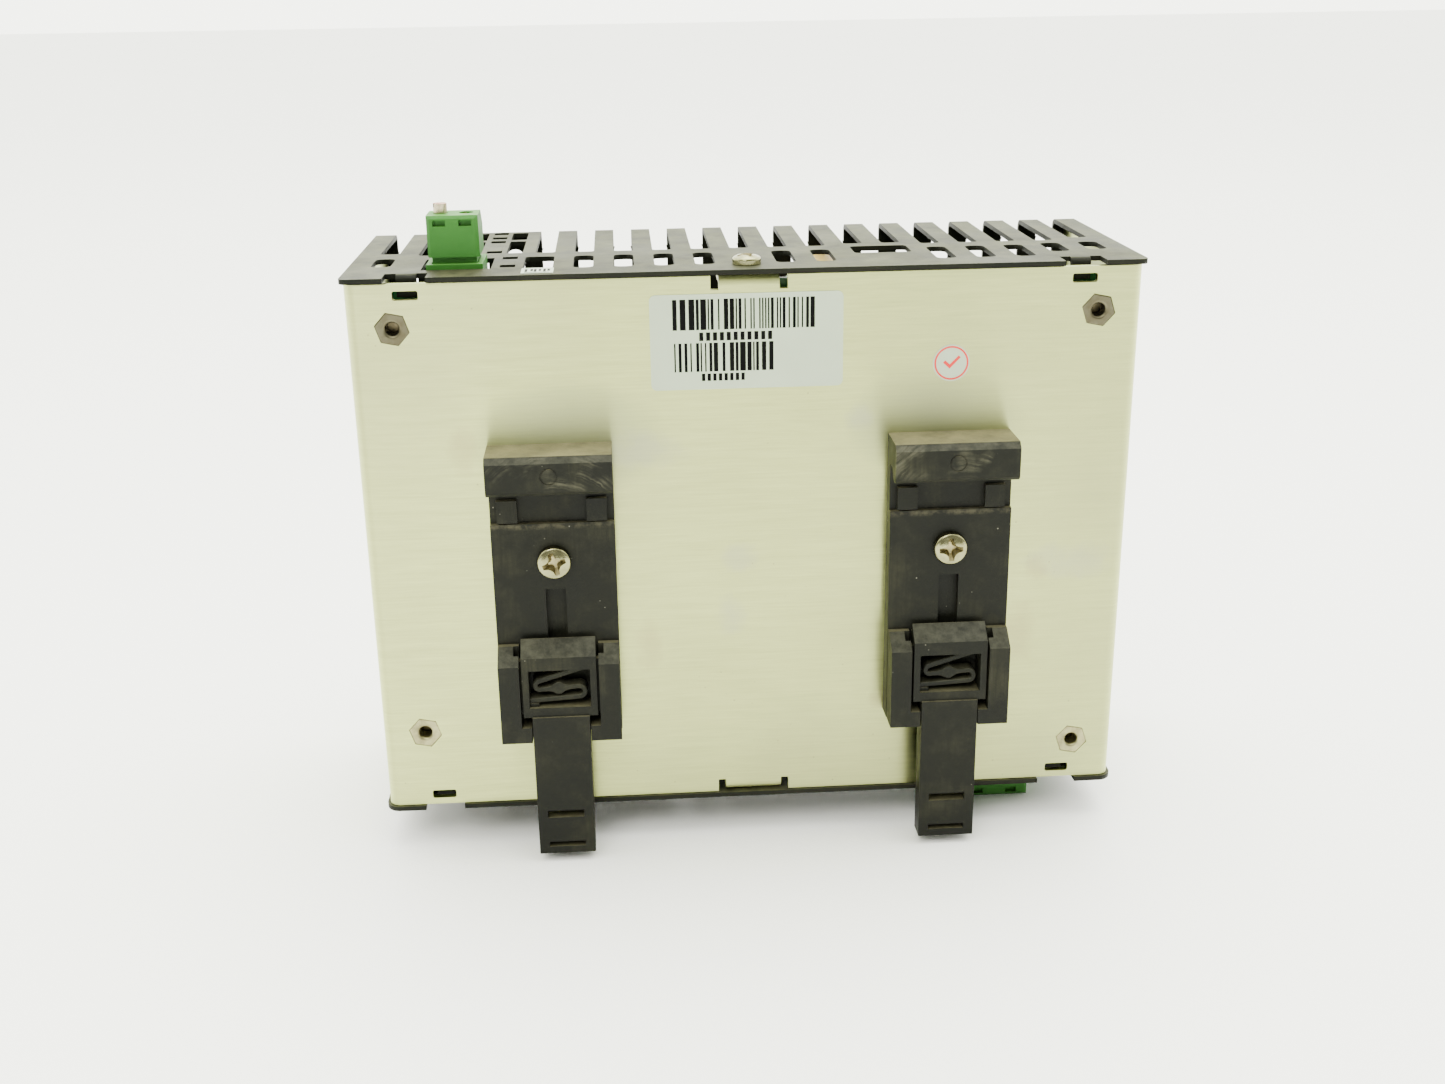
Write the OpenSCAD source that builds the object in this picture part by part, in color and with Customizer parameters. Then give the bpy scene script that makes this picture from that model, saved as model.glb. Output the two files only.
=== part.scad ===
// DIN rail power supply: folded case, pluggable terminals and two snap-on rail feet.
// Sizes are in millimetres. The parts are laid out with x across the unit, y from the
// rail side to the front and z up. There y = 0 is the outer plane of the back plate and
// z = 0 is the underside of the case. in_frame() then moves them into the part's frame.

/* [Case] */
// Width over the chassis side walls
case_w = 157.5; // [157:0.5:159]
// Height over the cover plates
case_h = 115; // [114.5:0.5:117]
// Depth from the back plate to the front face
case_d = 57; // [57:0.5:60]
// Thickness of the aluminium chassis sheet
chassis_t = 1.5; // [1.2:0.1:1.6]
// Thickness of the steel cover sheet
cover_t = 1; // [0.8:0.1:1]
// How far the cover plates stand out past each side wall
cover_lip = 0.65; // [0.4:0.05:0.8]
// How far the cover plates stand out behind the back plate
cover_rear = 0.5; // [0.2:0.1:0.6]

/* [Ventilation] */
// Distance between the slots
slot_pitch = 8.1; // [8:0.05:8.15]
// Width of a slot
slot_w = 4; // [3:0.1:4.2]
// Height at which the top slots end on the front face
slot_front_z = 100; // [90:1:106]

/* [Rail feet] */
// Distance of each foot from the middle of the case
foot_x = 40.5; // [39:0.5:42]
// Width of a foot
foot_w = 25; // [24:0.5:26]
// Height of the rail's centre line above the underside of the case
rail_z = 57.5; // [57:0.5:58]
// Width of the rail that the feet grip
rail_w = 35; // [35:0.1:35.2]
// Stand-off of the rail seat from the back plate
seat_t = 4.5; // [4.4:0.1:4.6]
// How far the upper hooks reach out from the back plate
hook_out = 10.4; // [10:0.1:11]
// How far a latch slides down to free the rail
latch_travel = 2.2; // [1.8:0.1:2.2]

/* [Terminals] */
// Pole distance of the signal plug
signal_pitch = 5.08; // [5:0.04:5.08]
// Pole distance of the two power plugs
power_pitch = 7.62; // [7.5:0.04:7.62]
// Height of the signal plug above the cover
signal_h = 10.4; // [10:0.1:11]
// How far the power plugs reach below the case
power_h = 8.5; // [8.5:0.1:9]
// How far the left signal screw stands raised
raised_screw = 2.2; // [0.5:0.1:2.5]

/* [Hidden] */

$fn = 48;
// Allowance by which a cut runs past the face it opens
over = 1;

// Middle of the unit's depth, and the height of the case above the ground
mid_y = (case_d - hook_out) / 2;
stand_z = power_h;

// Chassis sheet
bend_r = 2.5;
tab_w = 12;
tab_relief_z = 111;
wall_gap = 0.2;
sheet_z0 = cover_t + wall_gap;
sheet_z1 = case_h - cover_t - wall_gap;
side_end = case_d - cover_t - 3 * wall_gap;
screw_y = 6;
m3_r = 1.25;
m3_full_r = 1.5;
m4_r = 1.95;
// Depth of thread that each standoff leaves free behind the back plate
free_thread = 3.4;

// Cover sheet
fold_r = 2;
cover_w = case_w + 2 * cover_lip;
slot_last = 9;
near_y0 = 6.8;
near_y1 = 20.8;
far_y0 = 25.8;
slot_corner = 0.9;
near_corner = 1.4;
tie_corner = 0.3;
top_corner_r = 1.5;
bottom_corner_r = 3;
notch_x = 66.8;
notch_w = 8.3;
notch_end = 4.7;
// Hook tabs of the cover, which bend down behind the back plate
hook_tab_w = 4;
hook_tab_z = 110.6;
hook_bend_r = 1.2;

// Boards. The front board carries the output terminal, the lamps and the trimmer.
board_y0 = 6.4;
board_t = 1.6;
board_y1 = board_y0 + board_t;
front_y0 = 46;
front_y1 = front_y0 + board_t;
standoffs = [[-69.8, 105], [69.9, 105], [-69.8, 18.2], [69.8, 10.1]];
spacers = [[-71, 8], [-25.2, 8], [-71, 48], [-34, 48]];

// Terminals: middle of each plug and its back face
signal_x = -57.7;
signal_y = 8.5;
ac_x = 51.9;
ac_y = 10;
dc_x = -44;
dc_y = 31;
signal_depth = 11;
power_depth = 14.5;
rim_h = 1;
neck_top = 2.3;
nose_drop = 7;
header_drop = 9.5;
pin_w = 1;

// Lamps and trimmer on the front board
trim_at = [-60, 40];
lamps = [-48, -41];
lamp_z = 40;

// Clearance round a component lead in its board hole
hole_gap = 0.15;

// ---------------------------------------------------------------- helpers

module in_frame() translate([0, -mid_y, stand_z]) children();

module block(x0, x1, y0, y1, z0, z1) {
  translate([x0, y0, z0]) cube([x1 - x0, y1 - y0, z1 - z0]);
}

module rod_y(x, z, r, y0, y1) {
  translate([x, y0, z]) rotate([-90, 0, 0]) cylinder(r = r, h = y1 - y0);
}

module rod_z(x, y, r, z0, z1) {
  translate([x, y, z0]) cylinder(r = r, h = z1 - z0);
}

// Outline drawn in y and z, drawn out along x
module along_x(x0, x1) {
  translate([x0, 0, 0]) rotate([90, 0, 90]) linear_extrude(x1 - x0) children();
}

// Outline drawn in x and z, drawn out along y
module along_y(y0, y1) {
  translate([0, y1, 0]) rotate([90, 0, 0]) linear_extrude(y1 - y0) children();
}

module span(x0, x1, y0, y1) {
  translate([x0, y0]) square([x1 - x0, y1 - y0]);
}

// Rectangle with round corners
module soft_span(x0, x1, y0, y1, r) {
  span(x0 + r, x1 - r, y0, y1);
  span(x0, x1, y0 + r, y1 - r);
  for (x = [x0 + r, x1 - r], y = [y0 + r, y1 - r]) translate([x, y]) circle(r);
}

// The same shape at the top and, upside down, at the bottom of the case
module top_and_bottom() {
  children();
  translate([0, 0, case_h]) mirror([0, 0, 1]) children();
}

// Pan head along +y with a cross recess, its seat at y = 0
module pan_head(r, h) {
  difference() {
    union() {
      rotate([-90, 0, 0]) cylinder(r = r, h = h * 0.55);
      translate([0, h * 0.55, 0]) rotate([-90, 0, 0]) cylinder(r1 = r, r2 = r * 0.72, h = h * 0.45);
    }
    for (a = [0, 90]) rotate([0, a + 20, 0]) translate([-r * 0.62, h * 0.35, -r * 0.13])
      cube([r * 1.24, h, r * 0.26]);
  }
}

// ---------------------------------------------------------------- case

module chassis_section() {
  wall = case_w / 2;
  difference() {
    union() {
      span(-wall, wall, bend_r, side_end);
      span(-wall + bend_r, wall - bend_r, 0, bend_r + 1);
      for (s = [-1, 1]) translate([s * (wall - bend_r), bend_r]) circle(bend_r);
    }
    span(-wall + chassis_t, wall - chassis_t, bend_r, side_end + over);
    span(-wall + bend_r, wall - bend_r, chassis_t, bend_r + 1);
    for (s = [-1, 1]) translate([s * (wall - bend_r), bend_r]) circle(bend_r - chassis_t);
  }
}

// Tab in the middle, folded inwards under the cover plate to take the cover screw
module fold_tab() {
  fold = 2;
  reach = 12;
  top = sheet_z1;
  along_x(-tab_w / 2, tab_w / 2) {
    span(0, chassis_t, tab_relief_z - 0.1, top - fold);
    span(fold, reach, top - chassis_t, top);
    intersection() {
      span(0, fold, top - fold, top);
      translate([fold, top - fold]) difference() {
        circle(fold);
        circle(fold - chassis_t);
      }
    }
  }
}

module chassis() {
  relief_w = 1.6;
  peep_w = 5;
  peep_z = [110.6, 112.4];
  in_frame() color("#cfcabd") difference() {
    union() {
      difference() {
        translate([0, 0, sheet_z0]) linear_extrude(sheet_z1 - sheet_z0) chassis_section();
        top_and_bottom()
          block(-tab_w / 2 - relief_w, tab_w / 2 + relief_w, -over, bend_r, tab_relief_z, case_h);
      }
      top_and_bottom() fold_tab();
    }
    rod_z(0, screw_y, m3_r, -over, 5);
    rod_z(0, screw_y, m3_r, case_h - 5, case_h + over);
    // Peep holes that show whether the hook tabs of the cover are in place
    top_and_bottom() for (s = [-1, 1]) along_y(-over, chassis_t + over)
      soft_span(s * notch_x - peep_w / 2, s * notch_x + peep_w / 2, peep_z[0], peep_z[1], 0.4);
    for (p = standoffs) clinch_hex(p, -over, chassis_t + over);
    for (s = [-1, 1]) {
      rod_y(s * foot_x, rail_z, 2.2, -over, chassis_t + over);
      rod_y(s * foot_x - 8, 70, 1.6, -over, chassis_t + over);
      rod_y(s * foot_x + 8, 46, 1.6, -over, chassis_t + over);
    }
  }
}

// Outline of the bent cover sheet, seen from the side
module cover_section(inset) {
  r = fold_r - inset;
  span(-cover_rear - inset, case_d - fold_r, inset, case_h - inset);
  span(0, case_d - inset, fold_r, case_h - fold_r);
  for (z = [fold_r, case_h - fold_r]) translate([case_d - fold_r, z]) circle(r);
}

// Slot in a top plate, from y0 to y1
module plate_slot(x0, x1, y0, y1, r = slot_corner) {
  translate([0, 0, case_h - cover_t - over]) linear_extrude(cover_t + 2 * over) soft_span(x0, x1, y0, y1, r);
}

// Slot that runs over the front fold and down the front face
module wrap_slot(x, y0, z0) {
  plate_slot(x - slot_w / 2, x + slot_w / 2, y0, case_d - 4);
  block(x - slot_w / 2, x + slot_w / 2, case_d - 5, case_d + over, case_h - 4, case_h + over);
  front_slot(x, z0, case_h - 3);
}

// Slot in the front face with round ends
module front_slot(x, z0, z1) {
  along_y(case_d - cover_t - over, case_d + over)
    soft_span(x - slot_w / 2, x + slot_w / 2, z0, z1, slot_w / 2 - 0.05);
}

// How much further from the rear edge a slot of the top plate starts, in the near and the far row
function slot_setback(k) = abs(k) == 9 ? 6 : abs(k) == 8 ? 4.6 : 0;
function far_setback(k) = abs(k) == 9 ? 2.6 : k == 3 || k == 4 ? 1.8 : 0;

module top_openings() {
  for (k = [-slot_last : slot_last]) {
    x = k * slot_pitch;
    back = slot_setback(k);
    if (k != -8 && k != -7 && k != -6 && k != -5 && k != 0 && k != 3 && k != 4)
      plate_slot(x - slot_w / 2, x + slot_w / 2, near_y0 + back, near_y1 + back / 4, near_corner);
    if (k != -6 && k != -7) wrap_slot(x, far_y0 + far_setback(k), slot_front_z);
  }
  for (k = [-7, -6]) front_slot(k * slot_pitch, slot_front_z, 111);
  // Wide slot beside the plug and the short wide one right of the middle
  plate_slot(-44.3, -38.4, near_y0, near_y1);
  plate_slot(23, 34.8, 15.4, 23.8);
  // Two columns of cable tie slots between two columns of inspection openings
  for (y = [27.8, 41.2, 46.6, 52.8]) plate_slot(-52.8, -49.6, y - 1.4, y + 1.4, tie_corner);
  for (y = [10.4, 20]) plate_slot(-49, -45.9, y - 1.4, y + 1.4, tie_corner);
  for (x = [-57.3, -48.6]) {
    plate_slot(x, x + 3.4, 26.2, 41.6, tie_corner);
    plate_slot(x, x + 3.4, 43.9, 53.4, tie_corner);
  }
  // Window of the signal header
  block(-64.4, -50.6, signal_y - 0.6, signal_y + signal_depth + 0.9, case_h - 3, case_h + over);
}

module bottom_openings() {
  ac_half = 1.5 * power_pitch + 0.8;
  dc_half = 2 * power_pitch + 0.8;
  translate([0, 0, case_h]) mirror([0, 0, 1]) {
    for (k = [-slot_last : slot_last]) {
      x = k * slot_pitch;
      if (k != 0 && (k < 5 || k > 8)) plate_slot(x - slot_w / 2, x + slot_w / 2, near_y0, near_y1);
      if (k < -7 || k > -4) wrap_slot(x, far_y0 + (k < 5 || k > 8 ? 0 : 5), slot_front_z);
    }
    block(ac_x - ac_half, ac_x + ac_half, ac_y - 0.2, ac_y + power_depth + 0.7, case_h - 3, case_h + over);
    block(dc_x - dc_half, dc_x + dc_half, dc_y - 0.6, front_y0, case_h - 3, case_h + over);
  }
}

// Tab in a rear notch: bends straight down and ends level with the peep hole
module hook_tab(x) {
  bend = [notch_end, case_h - hook_bend_r];
  along_x(x - hook_tab_w / 2, x + hook_tab_w / 2) {
    span(bend[0] - hook_bend_r, bend[0] - hook_bend_r + cover_t, hook_tab_z, bend[1]);
    span(bend[0] - 0.01, bend[0] + 0.1, case_h - cover_t, case_h);
    intersection() {
      span(bend[0] - hook_bend_r, bend[0], bend[1], case_h);
      translate(bend) difference() {
        circle(hook_bend_r);
        circle(hook_bend_r - cover_t);
      }
    }
  }
}

// Waste at a rear corner of a cover plate, outside its radius
module rear_corner(s, r, z0, z1) {
  translate([s * (cover_w / 2 - r), r - cover_rear, z0]) linear_extrude(z1 - z0) difference() {
    span(s > 0 ? 0 : -r - over, s > 0 ? r + over : 0, -r - over, 0);
    circle(r);
  }
}

module cover() {
  in_frame() color("#6d675c") {
    difference() {
      along_x(-cover_w / 2, cover_w / 2) difference() {
        cover_section(0);
        cover_section(cover_t);
      }
      for (s = [-1, 1]) {
        rear_corner(s, bottom_corner_r, -over, 5);
        rear_corner(s, top_corner_r, case_h - 5, case_h + over);
      }
      top_openings();
      bottom_openings();
      top_and_bottom() {
        rod_z(0, screw_y, 1.6, case_h - 3, case_h + over);
        for (x = [-notch_x, notch_x])
          block(x - notch_w / 2, x + notch_w / 2, -over, notch_end, case_h - 3, case_h + over);
      }
      for (x = lamps) rod_y(x, lamp_z, 1.6, case_d - 3, case_d + over);
      rod_y(trim_at[0], trim_at[1], 3, case_d - 3, case_d + over);
    }
    top_and_bottom() for (s = [-1, 1]) hook_tab(s * notch_x);
  }
}

module cover_screws() {
  in_frame() color("#d8d0b4") top_and_bottom() {
    translate([0, screw_y, case_h]) rotate([90, 0, 0]) pan_head(2.9, 2);
    rod_z(0, screw_y, m3_r - 0.03, case_h - 5, case_h + 0.1);
  }
}

// Hexagon of a clinch standoff: six flats, turned a little
module clinch_hex(p, y0, y1) {
  translate([p[0], y0, p[1]]) rotate([-90, 0, 0]) rotate([0, 0, 12]) cylinder(r = 3.5, h = y1 - y0, $fn = 6);
}

module clinch_standoffs() {
  in_frame() color("#b9b9b4") for (p = standoffs) difference() {
    union() {
      clinch_hex(p, 0, chassis_t);
      rod_y(p[0], p[1], 2.6, chassis_t - 0.5, board_y0);
    }
    rod_y(p[0], p[1], m3_r, -over, free_thread + 0.1);
    // The inner half holds the board screw, so it is as wide as the screw's thread
    rod_y(p[0], p[1], m3_full_r + 0.05, free_thread, board_y0 + over);
    translate([p[0], -0.01, p[1]]) rotate([-90, 0, 0]) cylinder(r1 = 1.7, r2 = m3_r, h = 0.45);
  }
}

module board_screws() {
  in_frame() color("#c8c8c4") {
    for (p = standoffs) {
      translate([p[0], board_y1, p[1]]) pan_head(2.8, 1.9);
      rod_y(p[0], p[1], m3_full_r, board_y1 - 4.2, board_y1 + 0.1);
    }
    for (p = spacers) {
      translate([p[0], front_y1, p[1]]) pan_head(2.8, 1.9);
      rod_y(p[0], p[1], m3_r - 0.03, front_y1 - 5, front_y1 + 0.1);
    }
  }
}

// ---------------------------------------------------------------- boards

module main_board() {
  in_frame() color("#2f7d46") difference() {
    block(-75.6, 75.6, board_y0, board_y1, 3, 112);
    for (p = standoffs) rod_y(p[0], p[1], m3_full_r + 0.1, 0, 20);
    for (p = spacers) rod_y(p[0], p[1], 1.3, 0, 20);
    for (i = [0 : 1])
      rod_y(signal_x + (i - 0.5) * signal_pitch, case_h - header_drop - 1, 0.75, 0, 20);
    for (i = [0 : 2]) rod_y(ac_x + (i - 1) * power_pitch, header_drop + 1, 0.75, 0, 20);
    // Holes of the component leads
    for (p = bulk_at) can_leads(p, bulk_r, hole_gap);
    for (p = output_at) can_leads(p, output_r, hole_gap);
    for (z = primary_z) device_leads(primary_x - 1.5, -1, z, hole_gap);
    for (z = secondary_z) device_leads(secondary_x + 1.5, 1, z, hole_gap);
    bridge_leads(hole_gap);
    fuse_clip_leads(hole_gap);
    x_capacitor_leads(hole_gap);
    varistor_leads(hole_gap);
    choke_leads(hole_gap);
    inductor_leads(hole_gap);
    // Keeps clear of the folded tabs and of the cover screws
    top_and_bottom() block(-8, 8, 0, 20, 109.5, case_h);
  }
}

module insulation_sheet() {
  in_frame() color("#e6e6dc") difference() {
    block(-62, 62, 1.6, 1.9, 12, 103);
    for (s = [-1, 1]) {
      rod_y(s * foot_x, rail_z, 5.2, 0, 5);
      rod_y(s * foot_x - 8, 70, 2, 0, 5);
      rod_y(s * foot_x + 8, 46, 2, 0, 5);
    }
  }
}

module front_board() {
  in_frame() color("#2f7d46") difference() {
    block(-74, -22.6, front_y0, front_y1, 3, 52);
    for (p = spacers) rod_y(p[0], p[1], 1.6, 40, 50);
    for (i = [0 : 3]) rod_y(dc_x + (i - 1.5) * power_pitch, header_drop + 1, 0.75, 40, 50);
    lamp_leads(hole_gap);
  }
}

module board_spacers() {
  in_frame() color("#d6b45a") for (p = spacers) difference() {
    union() {
      translate([p[0], board_y1, p[1]]) rotate([-90, 30, 0])
        cylinder(r = 2.9, h = front_y0 - board_y1, $fn = 6);
      rod_y(p[0], p[1], 1.25, board_y0 - 0.5, board_y1 + 0.5);
    }
    rod_y(p[0], p[1], m3_r, front_y0 - 8, front_y0 + over);
  }
}

// Rating label, round sticker, small label by the plug and the label on the right wall
module labels() {
  paper = 0.12;
  in_frame() color("#e4e8ea") {
    along_y(-paper, 0) soft_span(-19.7, 18.6, 91.2, 110.3, 1.2);
    rod_y(40.5, 95.1, 3.75, -paper, 0);
    translate([0, 0, case_h]) linear_extrude(paper) soft_span(-44.4, -38.1, 1, near_y0 - 0.1, 0.3);
    along_x(case_w / 2, case_w / 2 + paper) soft_span(7, 50, 14, 105, 1.2);
  }
}

// ---------------------------------------------------------------- terminals

// A terminal is drawn with its poles along x, its back face at y = 0, its plug along +z
// and the case's outer face at z = 0.
module at_signal() translate([signal_x, signal_y, case_h]) children();
module at_ac() translate([ac_x, ac_y, 0]) mirror([0, 0, 1]) children();
module at_dc() translate([dc_x, dc_y, 0]) mirror([0, 0, 1]) children();

function pole_x(i, poles, pitch) = (i - (poles - 1) / 2) * pitch;
function half_w(poles, pitch) = poles * pitch / 2;
function axis_y(depth) = depth * 0.43;

// Header shell. back and front are the thicknesses left outside the plug's faces.
module header_shell(poles, pitch, depth, back, front) {
  half = half_w(poles, pitch);
  difference() {
    block(-half - 0.5, half + 0.5, -back, depth + front, -header_drop, rim_h);
    block(-half + 0.55, half - 0.55, 1.05, depth - 1.05, -nose_drop - 0.3, rim_h + over);
    for (i = [0 : poles - 1]) block(pole_x(i, poles, pitch) - 0.55, pole_x(i, poles, pitch) + 0.55,
      axis_y(depth) - 0.55, axis_y(depth) + 0.55, -header_drop - over, 0);
  }
}

// Angled pins: along z in the header, then along y to the board at foot_y
module header_pins(poles, pitch, depth, foot_y) {
  bend_z = -header_drop - 1.5;
  for (i = [0 : poles - 1]) {
    x = pole_x(i, poles, pitch);
    near = min(foot_y, axis_y(depth) - pin_w / 2);
    far = max(foot_y, axis_y(depth) + pin_w / 2);
    block(x - pin_w / 2, x + pin_w / 2, axis_y(depth) - pin_w / 2, axis_y(depth) + pin_w / 2, bend_z, 0);
    block(x - pin_w / 2, x + pin_w / 2, near, far, bend_z, bend_z + pin_w);
  }
}

// Plug housing: side outline with chamfered back edge and sloped wire side
module plug_shell(poles, pitch, depth, h, screw_r, entry_w) {
  half = half_w(poles, pitch);
  cut = 0.6;
  slope = 3;
  difference() {
    union() {
      along_x(-half, half) polygon([[0, neck_top], [0, h - cut], [cut, h], [depth - slope, h],
        [depth, h - slope], [depth, neck_top]]);
      block(-half + 0.7, half - 0.7, 1.2, depth - 1.2, -nose_drop, neck_top + 0.1);
    }
    // Chamfers down the two back edges
    for (s = [-1, 1]) translate([s * half, 0, 0]) rotate([0, 0, 45])
      block(-cut * 0.75, cut * 0.75, -cut * 0.75, cut * 0.75, neck_top - over, h + over);
    for (i = [0 : poles - 1]) {
      x = pole_x(i, poles, pitch);
      // Chamber of the clamp, open towards the wires
      block(x - clamp_half(pitch) - 0.05, x + clamp_half(pitch) + 0.05, axis_y(depth) - 2.45,
            axis_y(depth) + 2.45, h - 7.05, h - 2.35);
      block(x - 1.05, x + 1.05, axis_y(depth) - 1.05, axis_y(depth) + 1.05, -nose_drop - over, h - 7);
      rod_z(x, axis_y(depth), screw_r + 0.12, h - 3, h + over);
      block(x - entry_w / 2, x + entry_w / 2, axis_y(depth), depth + over, h - 6.1, h - 4.1);
      // Test slot in the back face
      block(x - 1.25, x + 1.25, -over, 1.1, h - 2.05, h - 0.85);
    }
  }
}

function clamp_half(pitch) = pitch * 0.36;

// Metal clamps: a square sleeve with the screw's thread on top and a fork for the pin
module clamps(poles, pitch, depth, h, screw_r) {
  half = clamp_half(pitch);
  for (i = [0 : poles - 1]) translate([pole_x(i, poles, pitch), axis_y(depth), 0]) {
    difference() {
      block(-half, half, -2.4, 2.4, h - 7, h - 2.4);
      block(-half + 0.5, half - 0.5, -3, 3, h - 6.5, h - 4);
      rod_z(0, 0, screw_r + 0.05, h - 5, h);
    }
    for (s = [-1, 1]) block(s * 0.775 - 0.225, s * 0.775 + 0.225, -0.8, 0.8, -nose_drop + 0.5, h - 6.95);
  }
}

// Slotted clamp screw of pole i, raised by lift
module clamp_screw(i, poles, pitch, depth, h, r, lift) {
  length = 5;
  translate([pole_x(i, poles, pitch), axis_y(depth), h - 0.3 + lift]) difference() {
    translate([0, 0, -length]) cylinder(r = r, h = length);
    rotate([0, 0, 25 + 50 * i]) translate([-r - 1, -0.3, -0.7]) cube([2 * r + 2, 0.6, 2]);
  }
}

signal_screw_r = 1.35;
power_screw_r = 1.5;

module signal_header() {
  in_frame() color("#4f9a4d") at_signal()
    header_shell(2, signal_pitch, signal_depth, signal_y - board_y1, 0.5);
}
module signal_header_pins() {
  in_frame() color("#d9c27a") at_signal()
    header_pins(2, signal_pitch, signal_depth, board_y0 - 1 - signal_y);
}
module signal_plug() {
  in_frame() color("#4f9a4d") at_signal()
    plug_shell(2, signal_pitch, signal_depth, signal_h, signal_screw_r, 2.4);
}
module signal_clamps() {
  in_frame() color("#c9c9c4") at_signal()
    clamps(2, signal_pitch, signal_depth, signal_h, signal_screw_r);
}
module signal_clamp_screw(i, lift) {
  in_frame() color("#c98f62") at_signal()
    clamp_screw(i, 2, signal_pitch, signal_depth, signal_h, signal_screw_r, lift);
}
module signal_clamp_screw_left() signal_clamp_screw(0, raised_screw);
module signal_clamp_screw_right() signal_clamp_screw(1, 0);

module ac_header() {
  in_frame() color("#4f9a4d") at_ac() header_shell(3, power_pitch, power_depth, 0, 0.5);
}
module ac_header_pins() {
  in_frame() color("#d9c27a") at_ac() header_pins(3, power_pitch, power_depth, board_y0 - 1 - ac_y);
}
module ac_plug() {
  in_frame() color("#4f9a4d") at_ac() plug_shell(3, power_pitch, power_depth, power_h, power_screw_r, 3.4);
}
module ac_clamps() {
  in_frame() color("#c9c9c4") at_ac() clamps(3, power_pitch, power_depth, power_h, power_screw_r);
}
module ac_clamp_screw(i) {
  in_frame() color("#c9c9c4") at_ac()
    clamp_screw(i, 3, power_pitch, power_depth, power_h, power_screw_r, 0);
}
module ac_clamp_screw_1() ac_clamp_screw(0);
module ac_clamp_screw_2() ac_clamp_screw(1);
module ac_clamp_screw_3() ac_clamp_screw(2);

module dc_header() {
  in_frame() color("#4f9a4d") at_dc()
    header_shell(4, power_pitch, power_depth, 0.4, front_y0 - dc_y - power_depth);
}
module dc_header_pins() {
  in_frame() color("#d9c27a") at_dc() header_pins(4, power_pitch, power_depth, front_y1 + 1 - dc_y);
}
module dc_plug() {
  in_frame() color("#4f9a4d") at_dc() plug_shell(4, power_pitch, power_depth, power_h, power_screw_r, 3.4);
}
module dc_clamps() {
  in_frame() color("#c9c9c4") at_dc() clamps(4, power_pitch, power_depth, power_h, power_screw_r);
}
module dc_clamp_screw(i) {
  in_frame() color("#c9c9c4") at_dc()
    clamp_screw(i, 4, power_pitch, power_depth, power_h, power_screw_r, 0);
}
module dc_clamp_screw_1() dc_clamp_screw(0);
module dc_clamp_screw_2() dc_clamp_screw(1);
module dc_clamp_screw_3() dc_clamp_screw(2);
module dc_clamp_screw_4() dc_clamp_screw(3);

// ---------------------------------------------------------------- components

// Magnetics, heatsinks and capacitors stand on the main board, up to y = 45. The modules
// called leads take grow, which makes the same shape wider for the holes in the board.
trafo_x = 4.5;
trafo_y = 26;
trafo_z0 = 40;
trafo_z1 = 76;
leg_r = 5.5;

module transformer_core() {
  in_frame() color("#3a3a3c") translate([trafo_x, trafo_y, 0]) {
    rod_z(0, 0, leg_r, trafo_z0 + 1, trafo_z1 - 1);
    for (s = [-1, 1]) block(s * 15.5 - 2.5, s * 15.5 + 2.5, -6, 6, trafo_z0, trafo_z1);
    block(-18, 18, -6, 6, trafo_z0, trafo_z0 + 5);
    block(-18, 18, -6, 6, trafo_z1 - 5, trafo_z1);
  }
}

module transformer_winding() {
  in_frame() color("#d9b238") translate([trafo_x, trafo_y, 0]) difference() {
    union() {
      rod_z(0, 0, 11.5, trafo_z0 + 6.5, trafo_z1 - 6.5);
      for (z = [trafo_z0 + 5.2, trafo_z1 - 6.7]) rod_z(0, 0, 12.6, z, z + 1.5);
      // Pin blocks that stand on the board
      for (z = [trafo_z0 + 5.2, trafo_z1 - 12]) block(-11, 11, board_y1 - trafo_y, -10.5, z, z + 6.8);
    }
    rod_z(0, 0, leg_r + 0.2, trafo_z0, trafo_z1);
  }
}

bulk_at = [[46, 70], [66.4, 70]];
bulk_r = 9.8;
output_at = [for (x = [-69, -57, -45], z = [66, 80]) [x, z]];
output_r = 5;

module can_leads(p, r, grow) {
  for (s = [-1, 1]) rod_y(p[0] + s * r * 0.45, p[1], 0.4 + grow, board_y0 - 1, board_y1 + 0.2);
}

module can(p, r, h) {
  difference() {
    union() {
      rod_y(p[0], p[1], r, board_y1 + 0.1, board_y1 + h);
      can_leads(p, r, 0);
    }
    // Rolled neck and pressure relief cross
    translate([p[0], board_y1 + 2.5, p[1]]) rotate([-90, 0, 0])
      rotate_extrude() translate([r + 0.35, 0]) circle(0.9);
    for (a = [0, 90]) translate([p[0], board_y1 + h, p[1]]) rotate([0, a, 0])
      cube([r * 1.2, 0.5, 0.4], center = true);
  }
}

module bulk_capacitors() {
  in_frame() color("#2b2f45") for (p = bulk_at) can(p, bulk_r, 35);
}

module output_capacitors() {
  in_frame() color("#1f4a3c") for (p = output_at) can(p, output_r, 25);
}

// Ring cores: centre, then inner radius, outer radius, thickness and wire
choke_at = [50, 17, 31];
choke = [6, 11, 9, 1];
inductor_at = [-52, 16, 30];
inductor = [4.5, 10.5, 8, 0.9];

module ring_core(ring) {
  difference() {
    cylinder(r = ring[1], h = ring[2], center = true);
    cylinder(r = ring[0], h = ring[2] + 2 * over, center = true);
  }
}

// Lead that comes off the ring at angle a
module ring_lead(at, ring, a, grow) {
  mid = (ring[0] + ring[1]) / 2;
  rod_y(at[0] + mid * cos(a), at[2] + mid * sin(a), ring[3] / 2 + grow, board_y0 - 1,
        at[1] - ring[2] / 2 - ring[3] + 0.1);
}

module choke_leads(grow) for (a = [60, 120, 240, 300]) ring_lead(choke_at, choke, a, grow);
module inductor_leads(grow) for (a = [0, 180]) ring_lead(inductor_at, inductor, a, grow);

module choke_core() {
  in_frame() color("#5b6a58") translate(choke_at) rotate([90, 0, 0]) ring_core(choke);
}

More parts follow.
